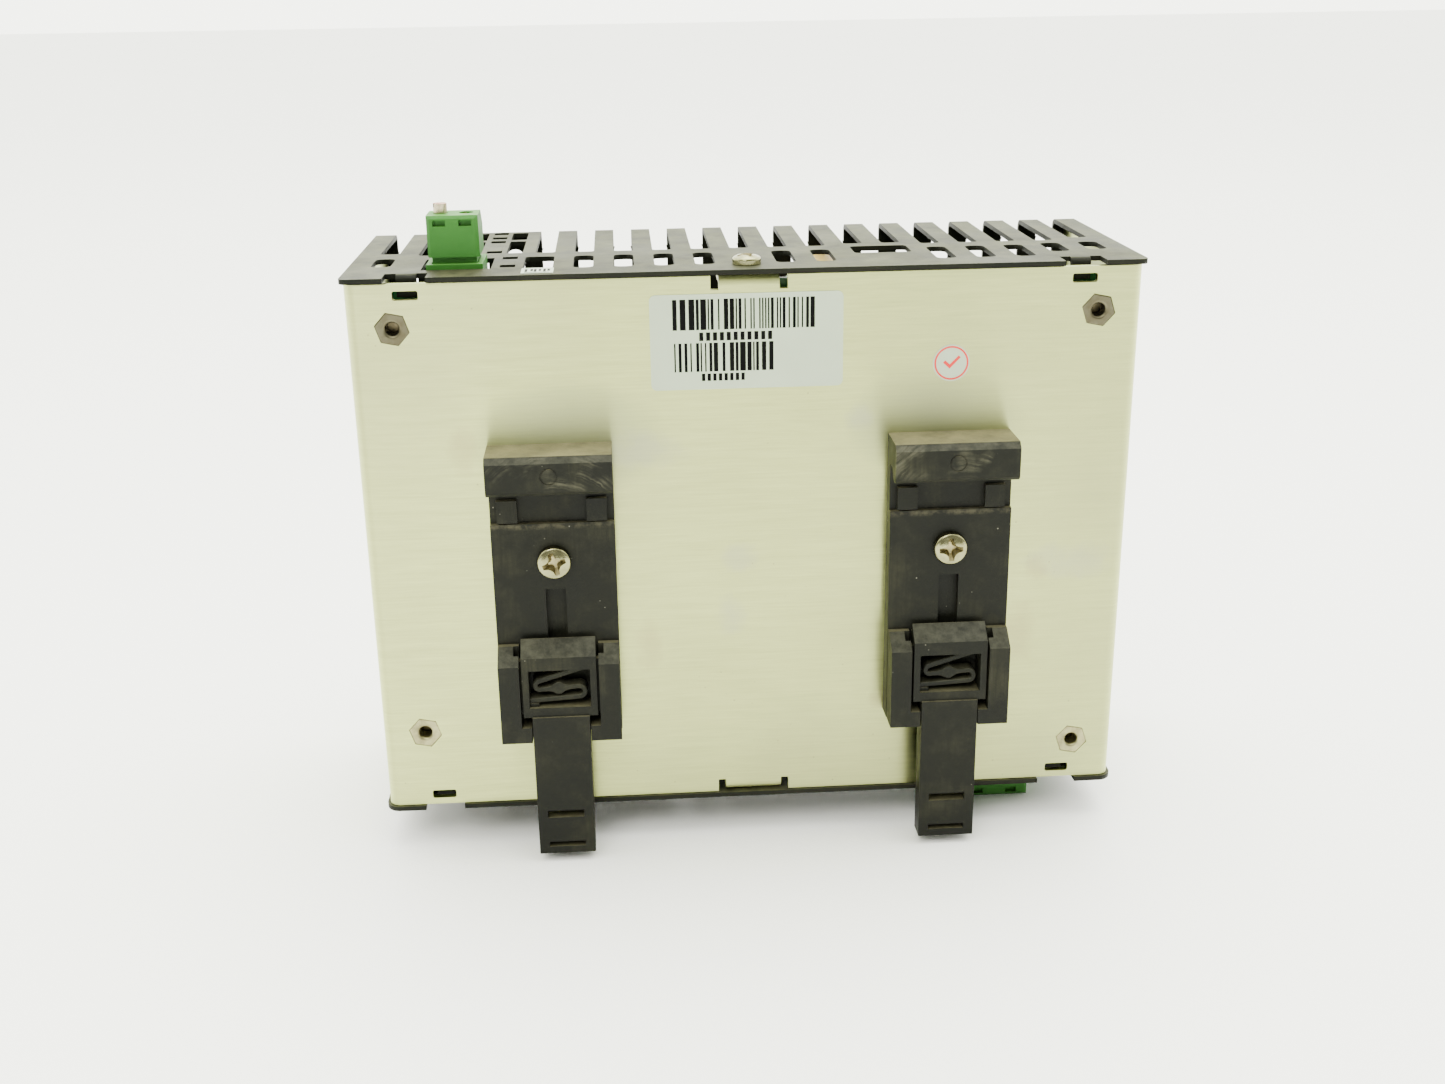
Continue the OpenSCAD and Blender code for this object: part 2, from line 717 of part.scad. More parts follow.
// Turn of wire round a ring core, drawn as a closed loop
module ring_turn(ring) {
  wire = ring[3];
  half = (ring[1] - ring[0]) / 2 + 0.05;
  rise = ring[2] / 2 + 0.05;
  translate([(ring[0] + ring[1]) / 2, 0, 0]) rotate([90, 0, 0]) linear_extrude(wire, center = true)
    difference() {
      span(-half - wire, half + wire, -rise - wire, rise + wire);
      span(-half, half, -rise, rise);
    }
}

module choke_windings() {
  in_frame() color("#b4592a") {
    translate(choke_at) rotate([90, 0, 0])
      for (s = [0, 180], a = [-60 : 12 : 60]) rotate([0, 0, a + s]) ring_turn(choke);
    choke_leads(0);
  }
}

module output_inductor() {
  in_frame() color("#d8b93c") translate(inductor_at) rotate([90, 0, 0]) ring_core(inductor);
}

module output_inductor_winding() {
  in_frame() color("#b4592a") {
    translate(inductor_at) rotate([90, 0, 0]) for (a = [0 : 20 : 340]) rotate([0, 0, a]) ring_turn(inductor);
    inductor_leads(0);
  }
}

// Comb-shaped extrusion standing on the board. side is the direction of its fins.
module heatsink(x, side, z0, z1) {
  block(x - 1.5, x + 1.5, board_y1 + 0.2, 44, z0, z1);
  for (y = [13 : 7.5 : 43]) block(side > 0 ? x : x - 6, side > 0 ? x + 6 : x, y - 0.6, y + 0.6, z0, z1);
}

primary_x = 29;
secondary_x = -20;
primary_z = [30, 62];
secondary_z = [62, 76];

module primary_heatsink() {
  in_frame() color("#b8bab8") difference() {
    heatsink(primary_x, 1, 22, 84);
    for (z = primary_z) translate([primary_x - 3, 30, z]) rotate([0, 90, 0]) cylinder(r = 1.25, h = 6);
  }
}

module secondary_heatsink() {
  in_frame() color("#b8bab8") difference() {
    heatsink(secondary_x, -1, 54, 96);
    for (z = secondary_z) translate([secondary_x - 3, 30, z]) rotate([0, 90, 0]) cylinder(r = 1.25, h = 6);
  }
}

module device_leads(x, side, z, grow) {
  for (k = [-1 : 1]) block(x + side * 2.4 - 0.3 - grow, x + side * 2.4 + 0.3 + grow, board_y0 - 1, 17.5,
    z + k * 2.54 - 0.4 - grow, z + k * 2.54 + 0.4 + grow);
}

// Flat power device with a tab against x, its body on the side given, three leads to the board
module power_device(x, side, z) {
  difference() {
    union() {
      block(side > 0 ? x : x - 1.3, side > 0 ? x + 1.3 : x, 18, 34, z - 5, z + 5);
      block(side > 0 ? x : x - 4.4, side > 0 ? x + 4.4 : x, 17, 26, z - 5, z + 5);
      device_leads(x, side, z, 0);
    }
    translate([x - 4, 30, z]) rotate([0, 90, 0]) cylinder(r = 1.7, h = 8);
  }
}

module primary_transistors() {
  in_frame() color("#2c2c2e") for (z = primary_z) power_device(primary_x - 1.5, -1, z);
}

module secondary_diodes() {
  in_frame() color("#2c2c2e") for (z = secondary_z) power_device(secondary_x + 1.5, 1, z);
}

module heatsink_screws() {
  in_frame() color("#c8c8c4") {
    for (z = primary_z) translate([primary_x - 2.8, 30, z]) rotate([0, 0, 90]) {
      pan_head(2.6, 1.8);
      rod_y(0, 0, 1.2, -3.9, 0.1);
    }
    for (z = secondary_z) translate([secondary_x + 2.8, 30, z]) rotate([0, 0, -90]) {
      pan_head(2.6, 1.8);
      rod_y(0, 0, 1.2, -3.9, 0.1);
    }
  }
}

module bridge_leads(grow) for (x = [44.4 : 5.08 : 60]) rod_y(x, 51, 0.5 + grow, board_y0 - 1, 13.1);

module bridge_rectifier() {
  in_frame() color("#2c2c2e") {
    difference() {
      block(42, 62, 13, 28, 49, 53);
      rod_z(52, 23, 1.7, 48, 54);
    }
    bridge_leads(0);
  }
}

fuse_at = [70.5, 14];
clip_z = [18.8, 35.8];

module fuse() {
  in_frame() color("#d9dcd8") {
    rod_z(fuse_at[0], fuse_at[1], 2.4, 22.5, 35.5);
    for (z = [18, 35]) rod_z(fuse_at[0], fuse_at[1], 2.6, z, z + 5);
  }
}

module fuse_clip_leads(grow) {
  for (z = clip_z) block(fuse_at[0] - 0.4 - grow, fuse_at[0] + 0.4 + grow, board_y0 - 1, fuse_at[1] - 3.5,
    z + 1 - grow, z + 2.2 + grow);
}

module fuse_clips() {
  x = fuse_at[0];
  y = fuse_at[1];
  in_frame() color("#d9c27a") {
    for (z = clip_z) {
      difference() {
        rod_z(x, y, 3.05, z, z + 3.4);
        rod_z(x, y, 2.65, z - 1, z + 5);
        block(x - 1.6, x + 1.6, y, y + 4, z - 1, z + 5);
      }
      block(x - 1.2, x + 1.2, y - 3.6, y - 2.9, z, z + 3.4);
    }
    fuse_clip_leads(0);
  }
}

module x_capacitor_leads(grow) for (z = [84, 106.5]) rod_y(19.7, z, 0.4 + grow, board_y0 - 1, board_y1 + 0.4);

module x_capacitor() {
  in_frame() color("#d3a83c") {
    block(14.2, 25.2, board_y1 + 0.2, 42, 80, 110.6);
    x_capacitor_leads(0);
  }
}

module varistor_leads(grow) for (z = [46.5, 53.5]) rod_y(70.5, z, 0.4 + grow, board_y0 - 1, 13);

module varistor() {
  in_frame() color("#2f63b0") {
    translate([68.5, 17.5, 50]) rotate([0, 90, 0]) cylinder(r = 7, h = 4);
    varistor_leads(0);
  }
}

module trim_pot_body() {
  x = trim_at[0];
  z = trim_at[1];
  in_frame() color("#2f63b0") difference() {
    block(x - 4.8, x + 4.8, front_y1, front_y1 + 5, z - 4.8, z + 4.8);
    rod_y(x, z, 2.45, front_y1 + 1, front_y1 + 6);
  }
}

module trim_pot_rotor() {
  x = trim_at[0];
  z = trim_at[1];
  in_frame() color("#e8e4d8") difference() {
    rod_y(x, z, 2.4, front_y1 + 1.1, case_d - 1.6);
    block(x - 2, x + 2, case_d - 2.5, case_d, z - 0.35, z + 0.35);
    block(x - 0.35, x + 0.35, case_d - 2.5, case_d, z - 2, z + 0.2);
  }
}

module lamp_leads(grow) {
  for (x = lamps, s = [-1.27, 1.27]) rod_y(x + s, lamp_z, 0.25 + grow, front_y0 - 1, front_y1 + 2.4);
}

module status_leds() {
  in_frame() color("#5fae3f") {
    for (x = lamps) {
      rod_y(x, lamp_z, 1.5, front_y1 + 3.2, case_d - 0.6);
      rod_y(x, lamp_z, 1.9, front_y1 + 2.2, front_y1 + 3.4);
    }
    lamp_leads(0);
  }
}

// ---------------------------------------------------------------- rail feet

// A foot is drawn round its own middle. Its profiles give the distance out from the back
// plate first and the height second.
rail_top = rail_z + rail_w / 2;
rail_low = rail_z - rail_w / 2;
lip_gap = 1.3;
guide_z0 = 19.5;
guide_z1 = 36.6;
guide_out = 9.8;
guide_x = 8.15;
ledge_z = guide_z0 + 3.4;
foot_top = 81;

// Foot modules draw y as the distance out from the back plate, so they are turned round
module out_of_plate(x) in_frame() translate([x, 0, 0]) mirror([0, 1, 0]) children();

latch_back = seat_t + 0.2;
latch_out = 9.5;
head_half = 7.65;
rib_out = 0.85;
rib_t0 = 5.9;
rib_t1 = 7.5;
window = [6.3, 27.2, 35.5];
tongue_half = 5.9;
tongue_z = -6.5;
stop_top = 28;

module foot_base(x) {
  hook_z = rail_top - 1.8;
  pad_x = 9;
  pad_half = 2.05;
  pad_z = [65.9, 70.6];
  pegs = [[-8, 70], [8, 46]];
  color("#2a2c29") out_of_plate(x) difference() {
    union() {
      block(-foot_w / 2, foot_w / 2, 0, seat_t, guide_z0, foot_top);
      // Hook over the rail's upper edge, with a groove that widens downwards
      along_x(-foot_w / 2, foot_w / 2) polygon([
        [seat_t - 0.1, rail_top + 0.4], [seat_t + lip_gap, rail_top + 0.4],
        [seat_t + lip_gap + 1.6, hook_z], [hook_out - 0.7, hook_z], [hook_out, hook_z + 0.7],
        [hook_out, foot_top - 1.2], [hook_out - 1.2, foot_top], [seat_t - 0.1, foot_top]]);
      // Pads that stand a little proud of the rail seat
      for (s = [-1, 1])
        block(s * pad_x - pad_half, s * pad_x + pad_half, seat_t - 0.1, seat_t + 0.15, pad_z[0], pad_z[1]);
      // Guide rails of the latch with a stop foot at the bottom of each
      for (s = [0, 1]) mirror([s, 0, 0]) {
        along_x(guide_x, foot_w / 2 - 0.1) polygon([[seat_t - 0.1, guide_z0], [guide_out, guide_z0],
          [guide_out, guide_z1], [seat_t + lip_gap, rail_low - 0.3], [seat_t - 0.1, rail_low - 0.3]]);
        block(tongue_half + 0.2, guide_x + 0.1, seat_t - 0.1, guide_out, guide_z0, ledge_z);
      }
      // Post that holds the fixed end of the latch spring
      block(-window[0] + 0.1, -window[0] + 1.9, seat_t - 0.1, latch_out - 0.8, window[1] + 0.05, stop_top);
      // Locating pegs that enter the back plate
      for (p = pegs) rod_y(p[0], p[1], 1.5, -1.3, 0.1);
    }
    // Sunk floor under the hook, all but the pads
    difference() {
      block(-foot_w / 2 - over, foot_w / 2 + over, seat_t - 1.1, seat_t + over, 65.6, rail_top + 0.4);
      for (x = [-pad_x, pad_x])
        block(x - pad_half, x + pad_half, 0, seat_t + 2 * over, pad_z[0], pad_z[1]);
    }
    // Centre groove that runs down under the latch
    block(-2.05, 2.05, seat_t - 1.8, seat_t + over, guide_z1, 51.5);
    // Grooves for the latch ribs, open at the top
    for (x = [-guide_x - 0.45, guide_x + 0.45])
      block(x - 0.65, x + 0.65, rib_t0 - 0.15, rib_t1 + 0.15, ledge_z, rail_low + over);
    translate([0, -over, rail_z]) rotate([-90, 0, 0]) cylinder(r = 2.2, h = seat_t + 2 * over);
    // Round mould mark on the hook
    translate([0, hook_out - 0.2, foot_top - 3.8]) rotate([-90, 0, 0]) difference() {
      cylinder(r = 1.75, h = 1);
      translate([0, 0, -over]) cylinder(r = 1.45, h = 3);
    }
  }
}

module latch(x) {
  lip_z = rail_low + 1.3;
  head_z = 38.3;
  color("#2c2e2b") out_of_plate(x) difference() {
    union() {
      along_x(-head_half, head_half) polygon([
        [latch_back, ledge_z + latch_travel], [latch_out, ledge_z + latch_travel], [latch_out, head_z],
        [seat_t + lip_gap + 0.1, lip_z], [seat_t + lip_gap, lip_z],
        [seat_t + lip_gap, rail_low - 0.4], [latch_back, rail_low - 0.4]]);
      block(-tongue_half, tongue_half, seat_t + 1, latch_out + 0.5, tongue_z, ledge_z + latch_travel + 0.1);
      for (s = [-1, 1]) block(s * (head_half + rib_out / 2 - 0.1) - rib_out / 2 - 0.1,
        s * (head_half + rib_out / 2 - 0.1) + rib_out / 2 + 0.1, rib_t0, rib_t1, ledge_z + latch_travel, 37);
    }
    block(-window[0], window[0], latch_back - over, latch_out + over, window[1], window[2]);
    // Screwdriver slots in the tongue
    block(-3.8, 3.8, 0, 20, 2, 3.2);
    block(-3.8, 3.8, 0, 20, -4.9, -3.8);
    // Thinner floor round the slots on the outside
    block(-3.8, 3.8, latch_out - 0.1, 20, 3.1, 3.8);
  }
}

// Straight arm of the spring from a to b, w thick
module arm(a, b, w) {
  turn = atan2(b[1] - a[1], b[0] - a[0]);
  translate(a) rotate(turn) translate([0, -w / 2]) square([norm(b - a), w]);
}

// Half ring of the spring about c, open towards +x when turn is 0
module half_ring(c, r_out, r_in, turn) {
  translate(c) rotate(turn) difference() {
    circle(r_out);
    circle(r_in);
    span(0, r_out + over, -r_out - over, r_out + over);
  }
}

module latch_spring(x) {
  left = [-4.1, 31.85];
  right = [4, 30.25];
  w = 1;
  color("#30322f") out_of_plate(x) along_y(seat_t + 0.9, latch_out - 0.9) {
    difference() {
      arm([left[0] - 0.2, left[1] + 0.95], [5.8, 35.9], 1.1);
      span(-8, 8, window[2] - 0.05, window[2] + 3);
    }
    half_ring(left, 1.45, 0.45, 0);
    arm([left[0] - 0.05, left[1] - 0.95], [right[0] + 0.05, right[1] + 1.15], w);
    translate([-0.2, 31.15]) circle(1.4);
    half_ring(right, 1.65, 0.65, 180);
    arm([right[0] + 0.1, right[1] - 1.15], [-window[0] + 0.2, stop_top + 0.5], w);
  }
}

module left_foot_base() foot_base(-foot_x);
module left_latch() latch(-foot_x);
module left_latch_spring() latch_spring(-foot_x);
module right_foot_base() foot_base(foot_x);
module right_latch() latch(foot_x);
module right_latch_spring() latch_spring(foot_x);

module foot_screws() {
  color("#c4c2b8") for (s = [-1, 1]) out_of_plate(s * foot_x) translate([0, 0, rail_z]) {
    translate([0, seat_t, 0]) pan_head(3.5, 2.3);
    rod_y(0, 0, m4_r, -5.6, seat_t + 0.1);
  }
}

module foot_nuts() {
  color("#c4c2b8") for (s = [-1, 1]) out_of_plate(s * foot_x) translate([0, 0, rail_z]) rotate([90, 0, 0])
    translate([0, 0, chassis_t]) difference() {
      cylinder(r = 4, h = 3.4);
      translate([0, 0, -over]) cylinder(r = m4_r + 0.03, h = 6);
    }
}

chassis();
cover();
cover_screws();
clinch_standoffs();
board_screws();
main_board();
insulation_sheet();
front_board();
board_spacers();
labels();
signal_header();
signal_header_pins();
signal_plug();
signal_clamps();
signal_clamp_screw_left();
signal_clamp_screw_right();
ac_header();
ac_header_pins();
ac_plug();
ac_clamps();
ac_clamp_screw_1();
ac_clamp_screw_2();
ac_clamp_screw_3();
dc_header();
dc_header_pins();
dc_plug();
dc_clamps();
dc_clamp_screw_1();
dc_clamp_screw_2();
dc_clamp_screw_3();
dc_clamp_screw_4();
transformer_core();
transformer_winding();
bulk_capacitors();
output_capacitors();
choke_core();
choke_windings();
output_inductor();
output_inductor_winding();
primary_heatsink();
primary_transistors();
secondary_heatsink();
secondary_diodes();
heatsink_screws();
bridge_rectifier();
fuse();
fuse_clips();
x_capacitor();
varistor();
trim_pot_body();
trim_pot_rotor();
status_leds();
left_foot_base();
left_latch();
left_latch_spring();
right_foot_base();
right_latch();
right_latch_spring();
foot_screws();
foot_nuts();
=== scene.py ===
"""Looks of the DIN rail power supply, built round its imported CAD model. Lengths are in metres."""
import math
import random

import bmesh
import bpy
from mathutils import Matrix, Vector


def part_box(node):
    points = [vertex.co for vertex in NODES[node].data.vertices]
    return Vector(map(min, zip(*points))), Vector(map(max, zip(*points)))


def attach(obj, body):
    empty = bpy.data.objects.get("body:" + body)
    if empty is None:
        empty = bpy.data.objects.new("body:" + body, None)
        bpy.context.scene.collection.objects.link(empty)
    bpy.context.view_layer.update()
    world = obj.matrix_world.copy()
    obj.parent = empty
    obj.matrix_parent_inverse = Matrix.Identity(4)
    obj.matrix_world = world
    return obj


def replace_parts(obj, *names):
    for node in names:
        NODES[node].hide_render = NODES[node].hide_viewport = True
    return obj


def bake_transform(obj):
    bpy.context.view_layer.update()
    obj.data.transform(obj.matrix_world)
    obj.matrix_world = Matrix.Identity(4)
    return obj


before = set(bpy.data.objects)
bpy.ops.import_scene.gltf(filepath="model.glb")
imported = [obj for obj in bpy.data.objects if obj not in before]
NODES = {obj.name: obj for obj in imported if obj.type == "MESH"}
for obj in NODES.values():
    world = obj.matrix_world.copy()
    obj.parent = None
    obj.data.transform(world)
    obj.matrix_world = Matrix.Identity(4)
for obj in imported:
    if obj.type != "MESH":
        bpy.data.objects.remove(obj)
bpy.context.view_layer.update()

MM = 0.001

# The drawing's own axes: y = 0 is the back plate's outer plane, z = 0 the underside of the case
PLATE_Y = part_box("chassis")[0].y
CASE_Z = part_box("cover")[0].z
PLATE_DARK = (0.395, 0.425, 0.175)
PLATE_LIGHT = (0.61, 0.655, 0.275)


def at(x, y, z):
    """A point of the drawing, in millimetres, as a point of the row frame."""
    return Vector((x * MM, PLATE_Y + y * MM, CASE_Z + z * MM))


# ---------------------------------------------------------------- camera, floor and light

def make_camera():
    """Stands where the photographer stood: a little left of the middle, looking down."""
    data = bpy.data.cameras.new("camera")
    data.lens = 40.2
    data.sensor_width = 36.0
    data.clip_start = 0.01
    camera = bpy.data.objects.new("camera", data)
    camera.location = at(-25.2, -313.3, 169.7)
    camera.rotation_euler = [math.radians(a) for a in (70.53, 0.83, -3.80)]
    bpy.context.collection.objects.link(camera)
    bpy.context.scene.camera = camera


def make_light(name, location, target, size, power, color=(1, 1, 1)):
    data = bpy.data.lights.new(name, "AREA")
    data.shape = "RECTANGLE"
    data.size, data.size_y = size
    data.energy = power
    data.color = color
    light = bpy.data.objects.new(name, data)
    light.location = location
    light.rotation_euler = (Vector(target) - Vector(location)).to_track_quat("-Z", "Y").to_euler()
    bpy.context.collection.objects.link(light)


def make_world():
    """A white box: bright above and behind the unit, dimmer on the side of the photographer."""
    world = bpy.data.worlds.new("studio")
    bpy.context.scene.world = world
    world.use_nodes = True
    tree = world.node_tree
    background = tree.nodes["Background"]
    background.inputs["Color"].default_value = (0.985, 1.0, 0.89, 1)

    def node(kind, inputs, **settings):
        made = tree.nodes.new(kind)
        for key, value in settings.items():
            setattr(made, key, value)
        for key, value in inputs.items():
            if isinstance(value, bpy.types.NodeSocket):
                tree.links.new(value, made.inputs[key])
            else:
                made.inputs[key].default_value = value
        return made.outputs[0]

    way = tree.nodes.new("ShaderNodeTexCoord").outputs["Generated"]
    parts = tree.nodes.new("ShaderNodeSeparateXYZ")
    tree.links.new(way, parts.inputs[0])
    away = node("ShaderNodeMath", {0: parts.outputs["Y"], 1: 0.8}, operation="MULTIPLY")
    above = node("ShaderNodeMath", {0: parts.outputs["Z"], 1: 0.45}, operation="MULTIPLY")
    side = node("ShaderNodeMath", {0: away, 1: above}, operation="ADD")
    light = node("ShaderNodeMapRange", {"Value": side, "From Min": -0.32, "From Max": 0.38,
                                        "To Min": 0.55, "To Max": 5.6})
    tree.links.new(light, background.inputs["Strength"])


def make_floor():
    mesh = bpy.data.meshes.new("floor")
    half = 6.0
    corners = [(-half, -half, 0), (half, -half, 0), (half, half, 0), (-half, half, 0)]
    mesh.from_pydata(corners, [], [(0, 1, 2, 3)])
    floor = bpy.data.objects.new("floor", mesh)
    bpy.context.collection.objects.link(floor)
    floor.data.materials.append(floor_material())


# ---------------------------------------------------------------- materials

class Paint:
    """Builds the node tree of one procedural material."""

    def __init__(self, name, color=(0.8, 0.8, 0.8), metallic=0.0, rough=0.5, **sockets):
        self.material = bpy.data.materials.new(name)
        self.material.use_nodes = True
        self.tree = self.material.node_tree
        self.shader = self.tree.nodes["Principled BSDF"]
        self.coords = self.tree.nodes.new("ShaderNodeTexCoord").outputs["Object"]
        self.put("Base Color", (*color, 1))
        self.put("Metallic", metallic)
        self.put("Roughness", rough)
        for name, value in sockets.items():
            self.put(name.replace("_", " "), value)

    def put(self, socket, value):
        """Sets a shader socket to a value, or links it to a node's output."""
        target = self.shader.inputs[socket]
        if isinstance(value, bpy.types.NodeSocket):
            self.tree.links.new(value, target)
        else:
            target.default_value = value

    def node(self, kind, inputs=None, **settings):
        made = self.tree.nodes.new(kind)
        for key, value in settings.items():
            setattr(made, key, value)
        for key, value in (inputs or {}).items():
            if isinstance(value, bpy.types.NodeSocket):
                self.tree.links.new(value, made.inputs[key])
            else:
                made.inputs[key].default_value = value
        return made

    def stretch(self, x, y, z, source=None):
        """Coordinates scaled along each axis."""
        made = self.node("ShaderNodeVectorMath", {0: source or self.coords, 1: (x, y, z)},
                         operation="MULTIPLY")
        return made.outputs[0]

    def noise(self, scale, detail=3.0, rough=0.55, source=None, distortion=0.0):
        made = self.node("ShaderNodeTexNoise", {"Vector": source or self.coords, "Scale": scale,
                                                "Detail": detail, "Roughness": rough,
                                                "Distortion": distortion})
        return made.outputs["Fac"]

    def voronoi(self, scale, source=None, feature="F1", output="Distance"):
        made = self.node("ShaderNodeTexVoronoi", {"Vector": source or self.coords, "Scale": scale},
                         feature=feature)
        return made.outputs[output]

    def fit(self, value, low, high, to_low=0.0, to_high=1.0):
        """Maps low..high to to_low..to_high and clamps."""
        made = self.node("ShaderNodeMapRange", {"Value": value, "From Min": low, "From Max": high,
                                                "To Min": to_low, "To Max": to_high})
        return made.outputs["Result"]

    def math(self, operation, a, b=0.0):
        return self.node("ShaderNodeMath", {0: a, 1: b}, operation=operation, use_clamp=False).outputs[0]

    def mix(self, factor, a, b):
        """Colour a where factor is 0 and b where it is 1."""
        made = self.tree.nodes.new("ShaderNodeMix")
        made.data_type = "RGBA"
        for key, value in (("Factor", factor), ("A", a), ("B", b)):
            socket = next(s for s in made.inputs if s.name == key and s.enabled)
            if isinstance(value, bpy.types.NodeSocket):
                self.tree.links.new(value, socket)
            else:
                socket.default_value = value if key == "Factor" else (*value, 1)
        return next(s for s in made.outputs if s.enabled)

    def bump(self, height, distance, strength=1.0, normal=None):
        made = self.node("ShaderNodeBump", {"Height": height, "Distance": distance, "Strength": strength})
        if normal is not None:
            self.tree.links.new(normal, made.inputs["Normal"])
        self.put("Normal", made.outputs["Normal"])
        return made.outputs["Normal"]

    def axis(self, name, source=None):
        made = self.node("ShaderNodeSeparateXYZ", {"Vector": source or self.coords})
        return made.outputs[name]

    def facing_up(self, low=0.6, high=0.95):
        """1 on faces that look up, where dust settles and where some finishes get a painted sheen."""
        normal = self.node("ShaderNodeNewGeometry").outputs["True Normal"]
        return self.fit(self.axis("Z", normal), low, high)


def floor_material():
    p = Paint("floor_paper", (0.97, 0.97, 0.965), rough=0.6)
    grain = p.noise(900, 2)
    p.bump(grain, 0.00005)
    tone = p.fit(p.noise(2.5, 3), 0.3, 0.7)
    p.put("Base Color", p.mix(tone, (0.965, 0.968, 0.96), (0.98, 0.98, 0.975)))
    return p.material


def spot_mask(p, spots, ragged):
    """1 inside soft spots of the back plate: real stains, and the painted shade above the hooks. A spot
    is (x, z, half width, half height) in mm.
    """
    x, z = p.axis("X"), p.axis("Z")
    total = None
    for sx, sz, wide, tall in spots:
        middle = at(sx, 0, sz)
        dx = p.math("MULTIPLY", p.math("SUBTRACT", x, middle.x), 1 / (wide * MM))
        dz = p.math("MULTIPLY", p.math("SUBTRACT", z, middle.z), 1 / (tall * MM))
        reach = p.math("ADD", p.math("MULTIPLY", dx, dx), p.math("MULTIPLY", dz, dz))
        reach = p.math("ADD", reach, p.fit(ragged, 0.3, 0.7, -0.7, 0.7))
        one = p.fit(reach, 0.0, 1.3, 1.0, 0.0)
        total = one if total is None else p.math("MAXIMUM", total, one)
    return total


def brushed_aluminium():
    """Sheet with its grain along the width of the back plate and along the depth of the walls."""
    p = Paint("brushed_aluminium", (0.55, 0.55, 0.42), metallic=1.0, rough=0.36, Anisotropic=0.92,
              Anisotropic_Rotation=0.25)
    tangent = p.node("ShaderNodeTangent", direction_type="RADIAL", axis="Z").outputs[0]
    p.put("Tangent", tangent)
    x, y, z = (p.axis(a) for a in "XYZ")
    along = p.math("ADD", x, y)
    grain_at = p.node("ShaderNodeCombineXYZ", {"X": p.math("MULTIPLY", along, 70.0), "Y": 0.0,
                                               "Z": p.math("MULTIPLY", z, 2400.0)}).outputs[0]
    grain = p.noise(1.0, 4, 0.65, grain_at)
    wavy = p.math("ADD", p.math("MULTIPLY", z, 620.0), p.math("MULTIPLY", p.noise(30.0, 2), 3.0))
    coarse_at = p.node("ShaderNodeCombineXYZ", {"X": p.math("MULTIPLY", along, 48.0), "Y": 0.0,
                                                "Z": wavy}).outputs[0]
    coarse = p.noise(1.0, 3, 0.6, coarse_at)
    cloud = p.noise(24.0, 5, 0.6)
    fine_cloud = p.noise(160.0, 4, 0.65)
    streaks = p.math("ADD", p.math("MULTIPLY", grain, 0.55), p.math("MULTIPLY", coarse, 0.45))
    dull = p.fit(cloud, 0.35, 0.75, 0.0, 0.06)
    p.put("Roughness", p.math("ADD", p.fit(streaks, 0.3, 0.7, 0.31, 0.41), dull))
    metal_tone = p.mix(p.fit(streaks, 0.25, 0.72), PLATE_DARK, PLATE_LIGHT)
    stains_and_shade = p.mix(p.fit(cloud, 0.5, 0.85, 0.0, 0.3), metal_tone, (0.44, 0.42, 0.26))
    wide_cloud = p.noise(11.0, 3, 0.5)
    stains_and_shade = p.mix(p.fit(wide_cloud, 0.42, 0.68, 0.0, 0.34), stains_and_shade, (0.37, 0.385, 0.21))
    # Painted shade: a soft dark smear above each hook stands for the hooks' reflection and shadow on the
    # brushed sheet.
    shade = spot_mask(p, [(-36.5, 81, 17, 11), (39, 83, 17, 11)], wide_cloud)
    stains_and_shade = p.mix(p.math("MULTIPLY", shade, 0.72), stains_and_shade, (0.27, 0.285, 0.175))
    grey_spots = [(-2, 55, 4, 3), (-4, 43, 4, 4), (67, 52, 9, 4),
                  (22, 84, 3.5, 3), (-24, 79, 10, 4)]
    grey = spot_mask(p, grey_spots, fine_cloud)
    brown_spots = [(57, 36, 3.5, 7), (60, 50, 2.5, 3), (30, 22, 5, 3),
                   (-58, 80, 3, 5), (-22, 36, 3, 6)]
    brown = spot_mask(p, brown_spots, fine_cloud)
    stains_and_shade = p.mix(p.math("MULTIPLY", grey, 0.3), stains_and_shade, (0.36, 0.36, 0.32))
    stains_and_shade = p.mix(p.math("MULTIPLY", brown, 0.36), stains_and_shade, (0.34, 0.29, 0.16))
    specks = p.math("MULTIPLY", p.fit(p.voronoi(420.0), 0.05, 0.1, 1.0, 0.0),
                    p.fit(p.noise(55.0, 2), 0.56, 0.62))
    p.put("Base Color", p.mix(p.math("MULTIPLY", specks, 0.5), stains_and_shade, (0.2, 0.18, 0.11)))
    p.bump(streaks, 0.00002)
    return p.material


def cover_paint():
    """Satin black paint, greyish on the faces that look up: partly settled dust, partly a painted sheen
    for the glancing reflection of the bright surroundings.
    """
    p = Paint("cover_paint", (0.03, 0.03, 0.026), rough=0.45, Specular_IOR_Level=0.07)
    fine = p.noise(2600, 2, 0.6)
    cloud = p.noise(45, 4, 0.6)
    base = p.mix(p.fit(cloud, 0.35, 0.7), (0.008, 0.009, 0.0065), (0.014, 0.0145, 0.0095))
    patchy = p.fit(p.noise(150, 5, 0.68), 0.35, 0.72, 0.10, 0.42)
    # Painted sheen and dust: faces that look up are made lighter, while the sides stay dark.
    lightening_on_top = p.math("MULTIPLY", p.facing_up(0.8, 0.97), patchy)
    scratch = p.fit(p.noise(1.0, 2, 0.5, p.stretch(260, 2600, 2600)), 0.71, 0.76, 0.0, 0.12)
    p.put("Base Color", p.mix(scratch, p.mix(lightening_on_top, base, (0.16, 0.165, 0.075)), (0.13, 0.13, 0.08)))
    p.put("Roughness", p.fit(cloud, 0.3, 0.7, 0.42, 0.56))
    p.bump(fine, 0.00005)
    return p.material


